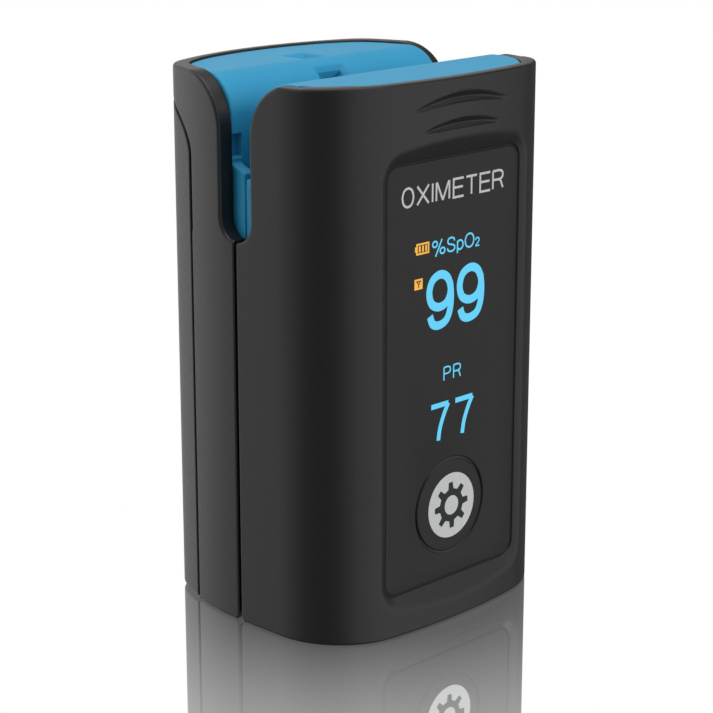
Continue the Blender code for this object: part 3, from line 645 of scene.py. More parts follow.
# ---- solid pieces from an outline ---------------------------------------------------------------------
def prism(name, outline, axis, low, high, material, bevel):
    """An outline run along an axis and bevelled. It holds the other two coordinates in X, Y, Z order."""
    order = {"X": (2, 0, 1), "Y": (0, 2, 1), "Z": (0, 1, 2)}[axis]
    bm = bmesh.new()
    verts = []
    for a, b in outline:
        flat = (a, b, low)
        verts.append(bm.verts.new([flat[i] for i in order]))
    step = Vector([high - low if letter == axis else 0.0 for letter in "XYZ"])
    extruded(bm, step, [bm.faces.new(verts)])
    bmesh.ops.recalc_face_normals(bm, faces=bm.faces[:])
    sharp = [edge for edge in bm.edges if edge.calc_face_angle(0.0) > math.radians(40)]
    bevelled(bm, sharp, bevel, 3)
    to_world(bm)
    return add_object(name, bm, material, 30)


def bevelled(bm, edges, offset, segments):
    style = {"affect": "EDGES", "profile": 0.5, "clamp_overlap": True, "material": -1}
    bmesh.ops.bevel(bm, geom=edges, offset=offset, segments=segments, **style)


def to_world(bm):
    """From millimetres, with Y from the parting plane, to the frame's metres."""
    bmesh.ops.translate(bm, verts=bm.verts[:], vec=(0.0, PARTING_Y, 0.0))
    bmesh.ops.scale(bm, verts=bm.verts[:], vec=(MM, MM, MM))


def arc(centre, radius, start, end, steps):
    angles = [math.radians(start + (end - start) * i / steps) for i in range(steps + 1)]
    return [(centre[0] + radius * math.cos(a), centre[1] + radius * math.sin(a)) for a in angles]


def turned(name, centre_z, profile, material, steps=96):
    """A piece turned about an axis along Y. Its profile holds (radius, y) pairs from the axis out and back."""
    bm = bmesh.new()
    verts = [bm.verts.new((radius, y, 0.0)) for radius, y in profile]
    edges = [bm.edges.new(pair) for pair in zip(verts, verts[1:])]
    whole = {"cent": (0, 0, 0), "axis": (0, 1, 0), "angle": 2 * math.pi, "use_merge": True}
    bmesh.ops.spin(bm, geom=verts + edges, steps=steps, **whole)
    bmesh.ops.remove_doubles(bm, verts=bm.verts[:], dist=1e-4)
    bmesh.ops.translate(bm, verts=bm.verts[:], vec=(0.0, 0.0, centre_z))
    to_world(bm)
    return add_object(name, bm, material, 35)


def bar(name, axis, low, high, material, bevel):
    """A bevelled bar between two corners, run along an axis."""
    across = [i for i in range(3) if "XYZ"[i] != axis]
    along = "XYZ".index(axis)
    a, b = across
    outline = [(low[a], low[b]), (high[a], low[b]), (high[a], high[b]), (low[a], high[b])]
    return prism(name, outline, axis, low[along], high[along], material, bevel)


def end_plate(name, half, inset, material):
    """The wall across the rear end, inside the shell."""
    count = 24
    reach = length_at(half, PARTING_HALF_GAP + FOOT_ROUND_R + 0.1, 1)
    outline = []
    for i in range(-count, count + 1):
        x, y, lean = surface(half, reach * i / count)
        side_x = math.copysign(inset * math.sin(lean), i) if i else 0.0
        outline.append((x - side_x, half.side * (y - inset * math.cos(lean))))
    return prism(name, outline, "Z", 0.02, END_WALL, material, 0.2)


# ---- silicone pads ------------------------------------------------------------------------------------
PAD_TOP_Z = 58.3
ROLL_R = 4.1
ROLL_Z = PAD_TOP_Z - ROLL_R
THROAT_Y = 2.2
ROLL_Y = THROAT_Y + ROLL_R
PAD_FOOT_Z = 17.9
PAD_SKIN = 1.0
PAD_FIT = 0.04
PAD_EDGE_ROUND = 0.22
PAD_BACK_Y = 7.3  # where the display-side pad's back lies behind the trough
FLAP_TOP_Z = 48.2
FLAP_X = 14.3
SPLIT_Y = 0.28
FLAP_GAP = 0.07
REAR_FLAP_LIFT = THROAT_Y - SPLIT_Y - FLAP_GAP
FRONT_FLAP_LIFT = THROAT_Y + SPLIT_Y - FLAP_GAP


@lru_cache(maxsize=None)
def pad_half_x(half, y):
    """Half width of the pad at this distance from the parting plane: it fills the shell."""
    x, _, lean = surface(half, length_at(half, max(y, 0.3), 1))
    return x - (wall_at(half, x) + PAD_FIT) * math.sin(lean)


@lru_cache(maxsize=None)
def pad_depth_at(half, x):
    """How far back the flange reaches at this x, just inside the rim."""
    low, high = ROLL_Y, half.depth
    for _ in range(30):
        middle = (low + high) / 2
        if pad_half_x(half, middle) > abs(x):
            low = middle
        else:
            high = middle
    out_x, y, lean = surface(half, length_at(half, low, 1))
    return y - (wall_at(half, out_x) + PAD_FIT) * math.cos(lean)


FLANGE_RUN = 6.0  # nominal length given to the flange's rows
ROLL_RUN = ROLL_R * math.pi / 2


def pad_point(half, t, s, lift):
    """World point on a pad. t runs across from -1 to 1 and s from the flange's rim, over the roll, and down."""
    side = half.side
    if s < FLANGE_RUN:
        x = t * pad_half_x(half, ROLL_Y)
        rim = pad_depth_at(half, min(abs(x), pad_half_x(half, ROLL_Y) - 0.15))
        y = rim + (ROLL_Y - rim) * s / FLANGE_RUN
        z = PAD_TOP_Z + lift
    elif s < FLANGE_RUN + ROLL_RUN:
        turn = (s - FLANGE_RUN) / ROLL_R
        y = ROLL_Y - (ROLL_R + lift) * math.sin(turn)
        z = ROLL_Z + (ROLL_R + lift) * math.cos(turn)
        x = t * pad_half_x(half, ROLL_Y - ROLL_R * math.sin(turn))
    else:
        y = THROAT_Y - lift
        z = ROLL_Z - (s - FLANGE_RUN - ROLL_RUN)
        x = t * pad_half_x(half, THROAT_Y)
    return Vector((x * MM, (PARTING_Y + side * y) * MM, z * MM))


def s_at_z(z):
    return FLANGE_RUN + ROLL_RUN + ROLL_Z - z


def pad(name, half, lift_at, back_at, rows):
    """A moulded pad from a grid across t and down s, with its skin's thickness behind."""
    half_x = pad_half_x(half, THROAT_Y)
    lines = spans((0, 1.0, 0.25), (1.0, 3.0, 0.11), (3.0, 12.6, 0.5), (12.6, 13.9, 0.2), (13.9, 14.7, 0.06))
    lines += near_edge_lines(half_x, -1)[:6]
    columns = both_sides([line / half_x for line in merged(lines)])
    bm = flat_grid(columns, merged(rows), lambda u, s: (u, s), None)
    inner = set(extruded(bm))
    first, last = min(rows), max(rows)
    for vert in bm.verts:
        t, s = vert.co.x, vert.co.y
        edge = min((1 - abs(t)) * half_x, s - first, last - s)
        lift = lift_at(t * half_x, s)
        if vert in inner:
            lift = back_at(s, lift)
        else:
            lift -= rounding(edge, PAD_EDGE_ROUND)
        vert.co = pad_point(half, t, s, lift)
    return add_object(name, bm, PAD, smooth_angle=None)


def pad_rows():
    start = FLANGE_RUN + ROLL_RUN
    rows = set(near_edge_lines(0.0, 1)) | set(near_edge_lines(s_at_z(PAD_FOOT_Z), -1))
    fine = (FLANGE_RUN - 2.5, FLANGE_RUN + 6.2)
    rows |= set(spans((1.6, fine[0], 0.4), (*fine, 0.1), (fine[1], start, 0.3)))
    rows |= set(spans((s_at_z(52.5), s_at_z(49.6), 0.1), (s_at_z(49.6), s_at_z(47.9), 0.07)))
    rows |= set(spans((s_at_z(47.9), s_at_z(22.0), 1.0), (s_at_z(22.0), s_at_z(PAD_FOOT_Z), 0.2)))
    return rows


EYE_ARC = (3.0, 5.6)  # where the locating eye lies, in millimetres round the roll from its top
EYE_HALF_X = 1.65
EYE_CHAMFER = 0.65
EYE_CHAMFER_DEPTH = 0.45
EYE_DEPTH = 2.6
DIMPLE = (0.15, 7.8, 1.9)  # middle x and y, and half side
DIMPLE_DEPTH = 0.6
NOTCH_Z = (49.85, 52.3)
NOTCH_X = 14.25


def rectangle_share(a, low_a, high_a, b, low_b, high_b, soft):
    """1 inside a rectangle, easing to 0 over a soft margin inside its edge."""
    inside = min(a - low_a, high_a - a, b - low_b, high_b - b)
    return clamp(inside / soft)


def rear_lift(x, s):
    """Height of the battery-side pad's face over its plain roll."""
    lift = 0.0
    if s < FLANGE_RUN + ROLL_RUN:
        if s < FLANGE_RUN:
            rim = pad_depth_at(BACK, min(abs(x), 14.0))
            y = rim + (ROLL_Y - rim) * s / FLANGE_RUN
        else:
            along = s - FLANGE_RUN
            y = ROLL_Y - ROLL_R * math.sin(along / ROLL_R)
            outer = EYE_HALF_X + EYE_CHAMFER
            low, high = EYE_ARC
            start, stop = low - EYE_CHAMFER, high + EYE_CHAMFER
            chamfer = rectangle_share(x, -outer, outer, along, start, stop, EYE_CHAMFER)
            well = rectangle_share(x, -EYE_HALF_X, EYE_HALF_X, along, low, high, 0.1)
            lift -= EYE_CHAMFER_DEPTH * chamfer + (EYE_DEPTH - EYE_CHAMFER_DEPTH) * well
        mid_x, mid_y, half_side = DIMPLE
        dip = rectangle_share(x - mid_x, -half_side, half_side, y - mid_y, -half_side, half_side, 0.8)
        lift -= DIMPLE_DEPTH * ease(dip, 0.0, 1.0)
        return lift
    z = ROLL_Z - (s - FLANGE_RUN - ROLL_RUN)
    if abs(x) > NOTCH_X:
        lift -= 0.9 * ease(abs(x), NOTCH_X, NOTCH_X + 0.12) * rectangle_share(z, *NOTCH_Z, 0.0, -1.0, 1.0, 0.12)
    flap_top = FLAP_TOP_Z + 0.15
    flap = ease(abs(x), FLAP_X - 0.1, FLAP_X + 0.1) * (1 - ease(z, flap_top, flap_top + 1.0))
    flap *= ease(z, PAD_FOOT_Z - 1.0, PAD_FOOT_Z)
    lift += REAR_FLAP_LIFT * flap
    if z < flap_top:
        lift -= 0.28 * (1 - ease(abs(x), 3.0, 13.5)) * ease(z, 19.0, 24.0) * (1 - ease(z, 42.0, 48.0))
    if z < 19.4:
        lift += (REAR_FLAP_LIFT - lift) * (1 - ease(z, 18.7, 19.4))
    return lift


def rear_back(s, lift):
    """Height of the battery-side pad's hidden face."""
    if s < FLANGE_RUN + ROLL_RUN:
        return min(-PAD_SKIN, lift - 0.12)
    return -0.85


# (height, depth) along the bottom of the fingertip's trough
TROUGH = (
    *((18.9, 0.6), (19.5, 4.4), (20.6, 5.6), (22.5, 6.1)),
    *((43.5, 6.1), (46.5, 5.2), (49.3, 3.4), (51.6, 1.9)),
)


def trough_depth(z):
    if z <= TROUGH[0][0]:
        return 0.0
    for (z0, d0), (z1, d1) in zip(TROUGH, TROUGH[1:]):
        if z <= z1:
            return d0 + (d1 - d0) * ease(z, z0, z1)
    return 0.0


def front_lift(x, s):
    """Height of the display-side pad's face: roll, throat, then the trough for the fingertip."""
    if s < FLANGE_RUN + ROLL_RUN:
        return 0.0
    z = ROLL_Z - (s - FLANGE_RUN - ROLL_RUN)
    base = FRONT_FLAP_LIFT * (1 - ease(z, FLAP_TOP_Z - 0.35, FLAP_TOP_Z))
    if z < 52.2:
        across = math.sqrt(max(1 - (x / FLAP_X) ** 2, 0.0))
        bowl = THROAT_Y + SPLIT_Y - trough_depth(z) * across
        base = soft_min(bowl, base, 0.25)
    return base


def front_back(s, _):
    """Height of the display-side pad's hidden face, whatever the lift of the face in front."""
    if s < FLANGE_RUN + ROLL_RUN:
        return -PAD_SKIN
    z = ROLL_Z - (s - FLANGE_RUN - ROLL_RUN)
    deep = -(PAD_BACK_Y - THROAT_Y)
    return -PAD_SKIN + (deep + PAD_SKIN) * (1 - ease(z, 48.8, 51.0))


# ---- window, button and prints --------------------------------------------------------------------------
def rounded_outline(half_x, half_z, mid_z, radius, steps=10):
    x, z = half_x - radius, half_z - radius
    return (
        arc((x, mid_z - z), radius, -90, 0, steps)
        + arc((x, mid_z + z), radius, 0, 90, steps)
        + arc((-x, mid_z + z), radius, 90, 180, steps)
        + arc((-x, mid_z - z), radius, 180, 270, steps)
    )


HOLE_R = 5.25
PANEL_THIN = 0.56  # what shows of the panel, over the shell's tray
HOLE_ROUND = 0.3


def window():
    """The panel with its round hole: outline and hole bridged, thickened and bevelled."""
    bm = bmesh.new()
    outline = rounded_outline(PANEL_HALF_X, PANEL_HALF_Z, PANEL_MID_Z, PANEL_CORNER_R)
    edges = closed_loop(bm, [(x, 0, z) for x, z in outline])
    ring = bmesh.ops.create_circle(bm, cap_ends=False, segments=len(outline) * 2, radius=HOLE_R)["verts"]
    turn = Matrix.Rotation(math.pi / 2, 4, "X")
    bmesh.ops.transform(bm, matrix=Matrix.Translation((0, 0, BUTTON_Z)) @ turn, verts=ring)
    ring_edges = list({edge for vert in ring for edge in vert.link_edges})
    bmesh.ops.bridge_loops(bm, edges=edges + ring_edges)
    extruded(bm, (0, PANEL_THIN, 0))
    bmesh.ops.translate(bm, verts=bm.verts[:], vec=(0, PANEL_FACE_Y, 0))
    bmesh.ops.recalc_face_normals(bm, faces=bm.faces[:])
    for size, inside in ((HOLE_ROUND, True), (0.06, False)):
        front = [
            edge
            for edge in bm.edges
            if edge.calc_face_angle(0.0) > 1.0
            and all(vert.co.y < PANEL_FACE_Y + 0.01 for vert in edge.verts)
            and (math.hypot(edge.verts[0].co.x, edge.verts[0].co.z - BUTTON_Z) < HOLE_R + 0.1) == inside
        ]
        bevelled(bm, front, size, 5)
    to_world(bm)
    return add_object("window_sheet", bm, PANEL, 30)


def groove_shade_bead():
    """A near-black bead in the groove round the window, a hair below the window's face: painted shade that makes
    the groove read as a dark line.
    """
    grown = GROOVE + 0.05
    inside = rounded_outline(PANEL_HALF_X + 0.01, PANEL_HALF_Z + 0.01, PANEL_MID_Z, PANEL_CORNER_R)
    outside = rounded_outline(PANEL_HALF_X + grown, PANEL_HALF_Z + grown, PANEL_MID_Z, PANEL_CORNER_R + grown)
    bm = bmesh.new()
    rings = []
    for outline in (inside, outside):
        rings += closed_loop(bm, [(x, PANEL_FACE_Y + 0.05, z) for x, z in outline])
    bmesh.ops.bridge_loops(bm, edges=rings)
    extruded(bm, (0, TRAY - 0.06, 0))
    to_world(bm)
    return add_object("window_groove_shade", bm, GROOVE_SHADE, 30)


def cap():
    """The round button: a soft-edged disc, level with the window's face, with its retaining flange behind."""
    face, edge, radius, flange_r = PANEL_FACE_Y, 0.3, HOLE_R - 0.04, 5.6
    corner = arc((radius - edge, face + edge), edge, 270, 360, 6)
    profile = [(0.0, face), (4.2, face)] + corner
    profile += [(radius, face + 1.3), (flange_r, face + 1.35), (flange_r, face + 1.75), (0.0, face + 1.8)]
    return turned("button_disc", BUTTON_Z, profile, CAP)


PRINT_LIFT = 0.012
PRINT_THICK = 0.015


def flat_print(name, outlines, face_y, material):
    """Thin ink on a face: each outline is a closed list of (x, z) points."""
    bm = bmesh.new()
    for outline in outlines:
        face = bm.faces.new([bm.verts.new((x, face_y - PRINT_LIFT, z)) for x, z in outline])
        extruded(bm, (0, PRINT_THICK, 0), [face])
    to_world(bm)
    return add_object(name, bm, material, 30)


# Plain sans figures on a unit box. A curve is smoothed through its points, a loop is a closed curve.
BOWL_TOP = [(0, 1), (0.3, 1), (0.62, 1), (0.9, 0.92), (0.98, 0.75)]
BOWL = ("curve", BOWL_TOP + [(0.9, 0.58), (0.62, 0.5), (0.3, 0.5), (0, 0.5)])
RING = [(0.5, 1), (0.85, 0.87), (1, 0.5), (0.85, 0.13), (0.5, 0), (0.15, 0.13), (0, 0.5), (0.15, 0.87)]
GLYPHS = {
    "O": [("loop", RING)],
    "X": [("line", [(0, 1), (1, 0)]), ("line", [(0, 0), (1, 1)])],
    "I": [("line", [(0.5, 0), (0.5, 1)])],
    "M": [
        ("line", [(0, 0), (0, 1)]),
        ("line", [(0.04, 1), (0.5, 0)]),
        ("line", [(0.5, 0), (0.96, 1)]),
        ("line", [(1, 1), (1, 0)]),
    ],
    "E": [("line", [(1, 1), (0, 1), (0, 0), (1, 0)]), ("line", [(0, 0.53), (0.93, 0.53)])],
    "T": [("line", [(0, 1), (1, 1)]), ("line", [(0.5, 1), (0.5, 0)])],
    "P": [("line", [(0, 0), (0, 1)]), BOWL],
    "R": [("line", [(0, 0), (0, 1)]), BOWL, ("curve", [(0.58, 0.5), (0.78, 0.4), (0.9, 0.18), (1, 0)])],
    "S": [
        (
            "curve",
            [(0.93, 0.74), (0.83, 0.93), (0.5, 1), (0.16, 0.93), (0.05, 0.74), (0.18, 0.58), (0.5, 0.5)]
            + [(0.84, 0.42), (0.97, 0.25), (0.84, 0.06), (0.5, 0), (0.14, 0.07), (0, 0.27)],
        )
    ],
    "p": [
        ("line", [(0, 1), (0, -0.38)]),
        (
            "curve",
            [(0, 0.76), (0.2, 0.95), (0.52, 1), (0.87, 0.83), (1, 0.5)]
            + [(0.87, 0.17), (0.52, 0), (0.2, 0.05), (0, 0.24)],
        ),
    ],
    "%": [
        ("loop", [(0.38 * x, 0.56 + 0.42 * z) for x, z in RING]),
        ("loop", [(0.62 + 0.38 * x, 0.0 + 0.42 * z) for x, z in RING]),
        ("line", [(0.24, -0.14), (0.76, 1.06)]),
    ],
    "2": [
        (
            "curve",
            [(0.03, 0.72), (0.15, 0.93), (0.5, 1), (0.86, 0.92), (0.94, 0.71), (0.78, 0.48)]
            + [(0.36, 0.22), (0.04, 0)],
        ),
        ("line", [(0.0, 0), (1, 0)]),
    ],
    "7": [("line", [(0, 1), (1, 1)]), ("curve", [(1, 1), (0.74, 0.7), (0.52, 0.34), (0.43, 0)])],
    "9": [
        (
            "loop",
            [(0.49, 1), (0.82, 0.91), (0.97, 0.67), (0.82, 0.44), (0.47, 0.36), (0.12, 0.45)]
            + [(0, 0.68), (0.14, 0.91)],
        ),
        ("curve", [(0.94, 0.8), (0.99, 0.55), (0.95, 0.27), (0.78, 0.07), (0.45, 0), (0.17, 0.05), (0.04, 0.22)]),
    ],
}


def smoothed(points, closed, steps=7):
    """Points along a smooth curve through the given ones."""
    count = len(points)
    ends = points if closed else [points[0]] + points + [points[-1]]
    made = []
    for i in range(count if closed else count - 1):
        a, b, c, d = (Vector(ends[(i + k) % len(ends)]) for k in ((-1, 0, 1, 2) if closed else (0, 1, 2, 3)))
        for step in range(steps):
            t = step / steps
            bend = (2 * a - 5 * b + 4 * c - d) * t**2 + (3 * b - a - 3 * c + d) * t**3
            made.append(0.5 * (2 * b + (c - a) * t + bend))
    return made if closed else made + [Vector(points[-1])]


def add_stroke(bm, points, width, closed, lift):
    """A flat band of even width along the points, mitred at the corners."""
    count = len(points)
    pairs = []
    for i, point in enumerate(points):
        before = points[i - 1] if i or closed else None
        after = points[(i + 1) % count] if i < count - 1 or closed else None
        runs = [run for run in ((before, point), (point, after)) if None not in run]
        ways = [(b - a).normalized() for a, b in runs]
        way = sum(ways, Vector((0, 0))).normalized()
        across = Vector((-way.y, way.x)) * width / 2 / max(way.dot(ways[0]), 0.5)
        sides = (point - across, point + across)
        pairs.append([bm.verts.new((spot.x, PANEL_FACE_Y - lift, spot.y)) for spot in sides])
    for (a, b), (c, d) in zip(pairs, pairs[1:] + (pairs[:1] if closed else [])):
        bm.faces.new((a, c, d, b))


def lettering(name, signs, low, high, width, material):
    """Signs drawn in strokes. Each sign is (letter, left, right), and may give its own low and high."""
    bm = bmesh.new()
    for letter, left, right, *heights in signs:
        foot, head = heights or (low, high)
        inset = width / 2
        for layer, (kind, points) in enumerate(GLYPHS[letter]):
            spots = smoothed(points, kind == "loop") if kind != "line" else [Vector(point) for point in points]
            spots = [
                Vector((left + inset + x * (right - left - width), foot + inset + z * (head - foot - width)))
                for x, z in spots
            ]
            # Crossing strokes lie at slightly different heights, so that no two faces coincide.
            add_stroke(bm, spots, width, kind == "loop", PRINT_LIFT + 0.002 * layer)
    extruded(bm, (0, PRINT_THICK, 0))
    to_world(bm)
    return add_object(name, bm, material, 30)


SIGN_X, SIGN_Z = 0.18, BUTTON_Z - 0.06
SIGN_R = 3.6
HUB_R = 1.07
GEAR_TURN = 0.05


def gear_outline(centre_x, centre_z, teeth=8, root=1.84, tip=2.6):
    """A gear whose teeth narrow slightly towards the tip."""
    points = []
    pitch = 2 * math.pi / teeth
    for i in range(teeth):
        middle = pitch * i + GEAR_TURN
        for share, radius in ((-0.27, root), (-0.15, tip), (0.15, tip), (0.27, root)):
            angle = middle + share * pitch
            points.append((centre_x + radius * math.cos(angle), centre_z + radius * math.sin(angle)))
    return points


def disc_outline(centre_x, centre_z, radius, steps=72):
    return arc((centre_x, centre_z), radius, 0, 360 - 360 / steps, steps - 1)


def rectangle(left, low, right, high):
    return [(left, low), (right, low), (right, high), (left, high)]


def build_prints():
    """The window's label and readouts, and the button's sign."""
    face = PANEL_FACE_Y
    label = [("O", -7.84, -5.98), ("X", -5.66, -3.7), ("I", -3.55, -2.95), ("M", -2.8, -0.6), ("E", -0.2, 1.6)]
    label += [("T", 1.75, 3.65), ("E", 3.93, 5.75), ("R", 5.95, 7.78)]
    unit = [("%", -3.26, -1.2), ("S", -1.0, 0.35), ("p", 0.55, 1.6, 40.15, 41.3), ("O", 1.75, 3.28)]
    prints = [
        lettering("label", label, 45.72, 47.88, 0.25, INK),
        lettering("saturation_label", unit, 40.15, 41.78, 0.19, CYAN),
        lettering("saturation_index", [("2", 3.38, 4.13)], 40.12, 41.12, 0.15, CYAN),
        lettering("saturation_value", [("9", -4.05, 0.22), ("9", 0.62, 5.0)], 32.2, 38.5, 0.9, CYAN),
        lettering("rate_label", [("P", -1.3, -0.12), ("R", 0.2, 1.45)], 26.4, 28.0, 0.17, CYAN),
        lettering("rate_value", [("7", -3.4, -0.2), ("7", 0.35, 3.6)], 19.78, 24.2, 0.56, CYAN),
    ]
    cell = [rectangle(-5.62, 40.62, -3.68, 41.82), rectangle(-5.8, 40.95, -5.6, 41.5)]
    well = [rectangle(-5.4, 40.82, -3.9, 41.62)]
    bars = [rectangle(x, 40.9, x + 0.26, 41.54) for x in (-5.26, -4.78, -4.3)]
    mast = [
        rectangle(-5.3, 37.2, -5.18, 37.55),
        [(-5.3, 37.5), (-5.18, 37.5), (-4.88, 37.9), (-5.03, 37.9)],
        [(-5.3, 37.5), (-5.18, 37.5), (-5.45, 37.9), (-5.6, 37.9)],
        rectangle(-5.6, 37.82, -4.88, 37.92),
    ]
    square = [rectangle(-5.85, 37.0, -4.64, 38.12)]
    for name, outlines, layer, material in (
        ("battery_sign", cell, 0, AMBER),
        ("battery_well", well, 1, AMBER_DARK),
        ("battery_bars", bars, 2, AMBER),
        ("signal_sign", square, 0, AMBER),
        ("signal_mast", mast, 1, AMBER_DARK),
    ):
        prints.append(flat_print(name, outlines, face - layer * PRINT_THICK, material))
    for piece in prints:
        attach(piece, "display_half")
    sign = [
        flat_print("button_sign", [disc_outline(SIGN_X, SIGN_Z, SIGN_R)], face, ICON),
        flat_print("button_gear", [gear_outline(SIGN_X, SIGN_Z)], face - PRINT_THICK, ICON_DARK),
        flat_print("button_hub", [disc_outline(SIGN_X, SIGN_Z, HUB_R, 40)], face - 2 * PRINT_THICK, ICON),
    ]
    for piece in sign:
        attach(piece, "power_button")


# ---- hinge and bay details that the shells carry ----------------------------------------------------------
KNUCKLE_R = 1.35
PIN_HOLE_R = 0.68


def barrel(name, low, high, material, side):
    """One hinge knuckle round the pin, with its web to the end wall."""
    bm = bmesh.new()
    edges = []
    for radius in (KNUCKLE_R, PIN_HOLE_R):
        edges += closed_loop(bm, [(low, y, PIN_Z + z) for y, z in arc((0, 0), radius, 0, 345, 23)])
    bmesh.ops.bridge_loops(bm, edges=edges)
    extruded(bm, (high - low, 0, 0))
    to_world(bm)
    ring = add_object(name, bm, material, 30)
    near, far = sorted((side * 1.05, side * 3.0))
    web = bar(name + "_web", "X", (low + 0.02, near, 0.45), (high - 0.02, far, END_WALL + 0.3), material, 0.1)
    return [ring, web]


def build_hinge():
    for body, side, reach in (("display_half", -1, (9.2, 11.5)), ("battery_half", 1, (11.8, 13.8))):
        for mirror, end in ((1, "right"), (-1, "left")):
            low, high = sorted((mirror * reach[0], mirror * reach[1]))
            for piece in barrel(f"{body}_knuckle_{end}", low, high, INNER, side):
                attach(piece, body)


def build_bay():
    """The battery bay's side walls and ends, seen when the cover is off."""
    for name, low, high in (
        ("bay_wall_left", (-11.65, 4.6, 1.0), (-10.95, 12.2, 52.9)),
        ("bay_wall_right", (10.95, 4.6, 1.0), (11.65, 12.2, 52.9)),
        ("bay_foot", (-11.6, 4.65, 1.6), (11.6, 12.2, 4.2)),
        ("bay_top", (-11.6, 4.65, 51.85), (11.6, 12.2, 52.9)),
    ):
        piece = bar(name, "Z", low, high, INNER, 0.15)
        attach(piece, "battery_half")


# ---- everything together ----------------------------------------------------------------------------------
def build_shells():
    front = front_shell()
    rear = rear_shell()
    for piece, body, node in ((front, "display_half", "front_housing"), (rear, "battery_half", "rear_housing")):
        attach(piece, body)
        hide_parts(node)
    cover = door()
    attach(cover, "battery_door")
    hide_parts("battery_cover")
    for name, half, inset, body in (
        ("display_end_wall", FRONT, 1.3, "display_half"),
        ("battery_end_wall", BACK, COVER_THICK + 0.35, "battery_half"),
    ):
        piece = end_plate(name, half, inset, SHELL)
        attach(piece, body)


def build_pads():
    rows = pad_rows()
    rear = pad("battery_side_pad", BACK, rear_lift, rear_back, rows)
    front = pad("display_side_pad", FRONT, front_lift, front_back, rows)
    for piece, body, node in ((front, "display_half", "front_pad"), (rear, "battery_half", "rear_pad")):
        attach(piece, body)
        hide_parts(node)


def build_face():
    sheet = window()
    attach(sheet, "display_half")
    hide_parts("window_panel")
    # painted shade: a near-black bead fills the groove round the window
    bead = groove_shade_bead()
    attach(bead, "display_half")
    disc = cap()
    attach(disc, "power_button")
    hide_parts("button_cap")
    build_prints()


def dress_nodes():
    """The CAD nodes that stay get their own finishes."""
    slots = {row["node"]: row["material_slot"] for row in frame["record"]["subparts"]}
    for name, obj in frame["nodes"].items():
        material = NODE_MATERIALS.get(slots[name])
        if material:
            obj.data.materials.clear()
            obj.data.materials.append(material)


# ---- studio -------------------------------------------------------------------------------------------------
FOCUS = Vector((0.0, 0.0, 0.03))


def add_area(name, place_at, size, power):
    """A soft rectangular lamp that glossy surfaces don't mirror."""
    light = bpy.data.lights.new(name, "AREA")
    light.shape = "RECTANGLE"
    light.size, light.size_y = size
    light.energy = power
    obj = in_scene(name, light)
    obj.location = place_at
    obj.rotation_mode = "QUATERNION"
    obj.rotation_quaternion = (FOCUS - Vector(place_at)).to_track_quat("-Z", "Y")
    obj.visible_camera = False
    obj.visible_glossy = False


# Soft boxes round the object, as (turn from the display face towards the left side, rise, full, none, level),
# all but the last in degrees: each is even out to its full angle, and gone past its none angle.
SOFT_BOXES = (
    (-12, 3, 38, 60, 0.8),
    (135, 3, 23, 51, 0.56),
    (192, 3, 28, 52, 0.75),
    (0, 90, 18, 42, 1.95),
)
AMBIENT = 0.16


def build_world():
    world = bpy.data.worlds.new("studio")
    bpy.context.scene.world = world
    world.use_nodes = True
    tree = world.node_tree
    way = add_node(tree, "ShaderNodeTexCoord").outputs["Generated"]
    total = None
    for turn, rise, full, none, level in SOFT_BOXES:
        turn, rise = math.radians(turn), math.radians(rise)
        centre = Vector((-math.sin(turn) * math.cos(rise), -math.cos(turn) * math.cos(rise), math.sin(rise)))
        near = add_node(tree, "ShaderNodeVectorMath", {"operation": "DOT_PRODUCT"}, _0=way)
        near.inputs[1].default_value = centre
        ramp = {"interpolation_type": "SMOOTHSTEP", "To Min": 0.0, "To Max": level}
        ramp |= {"From Min": math.cos(math.radians(none)), "From Max": math.cos(math.radians(full))}
        glow = add_node(tree, "ShaderNodeMapRange", ramp, Value=near.outputs["Value"]).outputs["Result"]
        if total is None:
            total = add_node(tree, "ShaderNodeMath", {"operation": "ADD"}, _0=glow)
            total.inputs[1].default_value = AMBIENT
        else:
            total = add_node(tree, "ShaderNodeMath", {"operation": "ADD"}, _0=glow, _1=total.outputs[0])
    # White paper behind, for the camera and for the sheet's mirror image alone.
    path = add_node(tree, "ShaderNodeLightPath")
    camera_ray, mirror_ray = path.outputs["Is Camera Ray"], path.outputs["Is Singular Ray"]
    seen = add_node(tree, "ShaderNodeMath", {"operation": "MAXIMUM"}, _0=camera_ray, _1=mirror_ray)
    level = add_node(tree, "ShaderNodeMix", {"data_type": "FLOAT"}, _0=seen.outputs[0], _2=total.outputs[0])
    level.inputs[3].default_value = 1.0
    tree.links.new(level.outputs[0], tree.nodes["Background"].inputs["Strength"])
    tree.nodes["Background"].inputs["Color"].default_value = (1.0, 1.0, 1.0, 1.0)


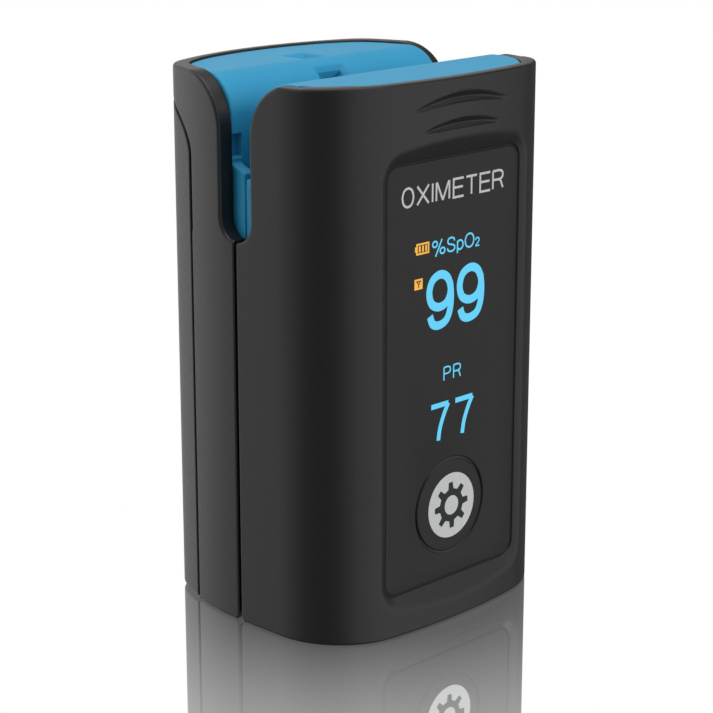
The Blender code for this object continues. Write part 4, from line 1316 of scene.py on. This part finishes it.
def build_studio():
    add_area("front_fill", (0.3, -0.55, 0.35), (0.5, 0.5), 1.6)
    add_area("left_key", (-0.55, 0.35, 0.3), (0.4, 0.5), 1.2)
    build_world()


def build_floor():
    """A pale glossy sheet whose mirror image fades away from the object."""
    bm = bmesh.new()
    bmesh.ops.create_grid(bm, x_segments=1, y_segments=1, size=3.0)
    material, tree, _ = new_material("glossy_sheet_white")
    floor = add_object("floor", bm, material, None)
    white = add_node(tree, "ShaderNodeEmission", {"Color": (1, 1, 1, 1), "Strength": 1.0})
    mirror = add_node(tree, "ShaderNodeBsdfGlossy", {"Color": (1, 1, 1, 1), "Roughness": 0.0})
    coords = add_node(tree, "ShaderNodeTexCoord").outputs["Object"]
    away = add_node(tree, "ShaderNodeVectorMath", {"operation": "LENGTH"}, _0=coords)
    fading = {"From Min": 0.018, "From Max": 0.09, "To Min": 0.93, "To Max": 0.1}
    fade = add_node(tree, "ShaderNodeMapRange", fading, Value=away.outputs["Value"])
    share = fade.outputs["Result"]
    shown = add_node(tree, "ShaderNodeMixShader", _0=share, _1=white.outputs[0], _2=mirror.outputs[0])
    tree.links.new(shown.outputs[0], tree.nodes["Material Output"].inputs["Surface"])
    floor.visible_diffuse = False
    floor.visible_glossy = False
    floor.visible_shadow = False


CAMERA_AT = Vector((-161.27, PARTING_Y - 158.93, 89.57)) * MM
CAMERA_LOOK = Vector((0.6864292, 0.67516117, -0.27013393))
CAMERA_LENS = 108.13


def build_camera():
    data = bpy.data.cameras.new("camera")
    data.lens = CAMERA_LENS
    data.sensor_width = 36.0
    data.clip_start, data.clip_end = 0.01, 20.0
    camera = in_scene("camera", data)
    camera.location = CAMERA_AT
    camera.rotation_mode = "QUATERNION"
    camera.rotation_quaternion = CAMERA_LOOK.to_track_quat("-Z", "Y")
    bpy.context.scene.camera = camera
    bpy.context.scene.view_settings.view_transform = "Standard"


build_camera()
build_studio()
build_floor()
dress_nodes()
build_shells()
build_pads()
build_face()
build_hinge()
build_bay()
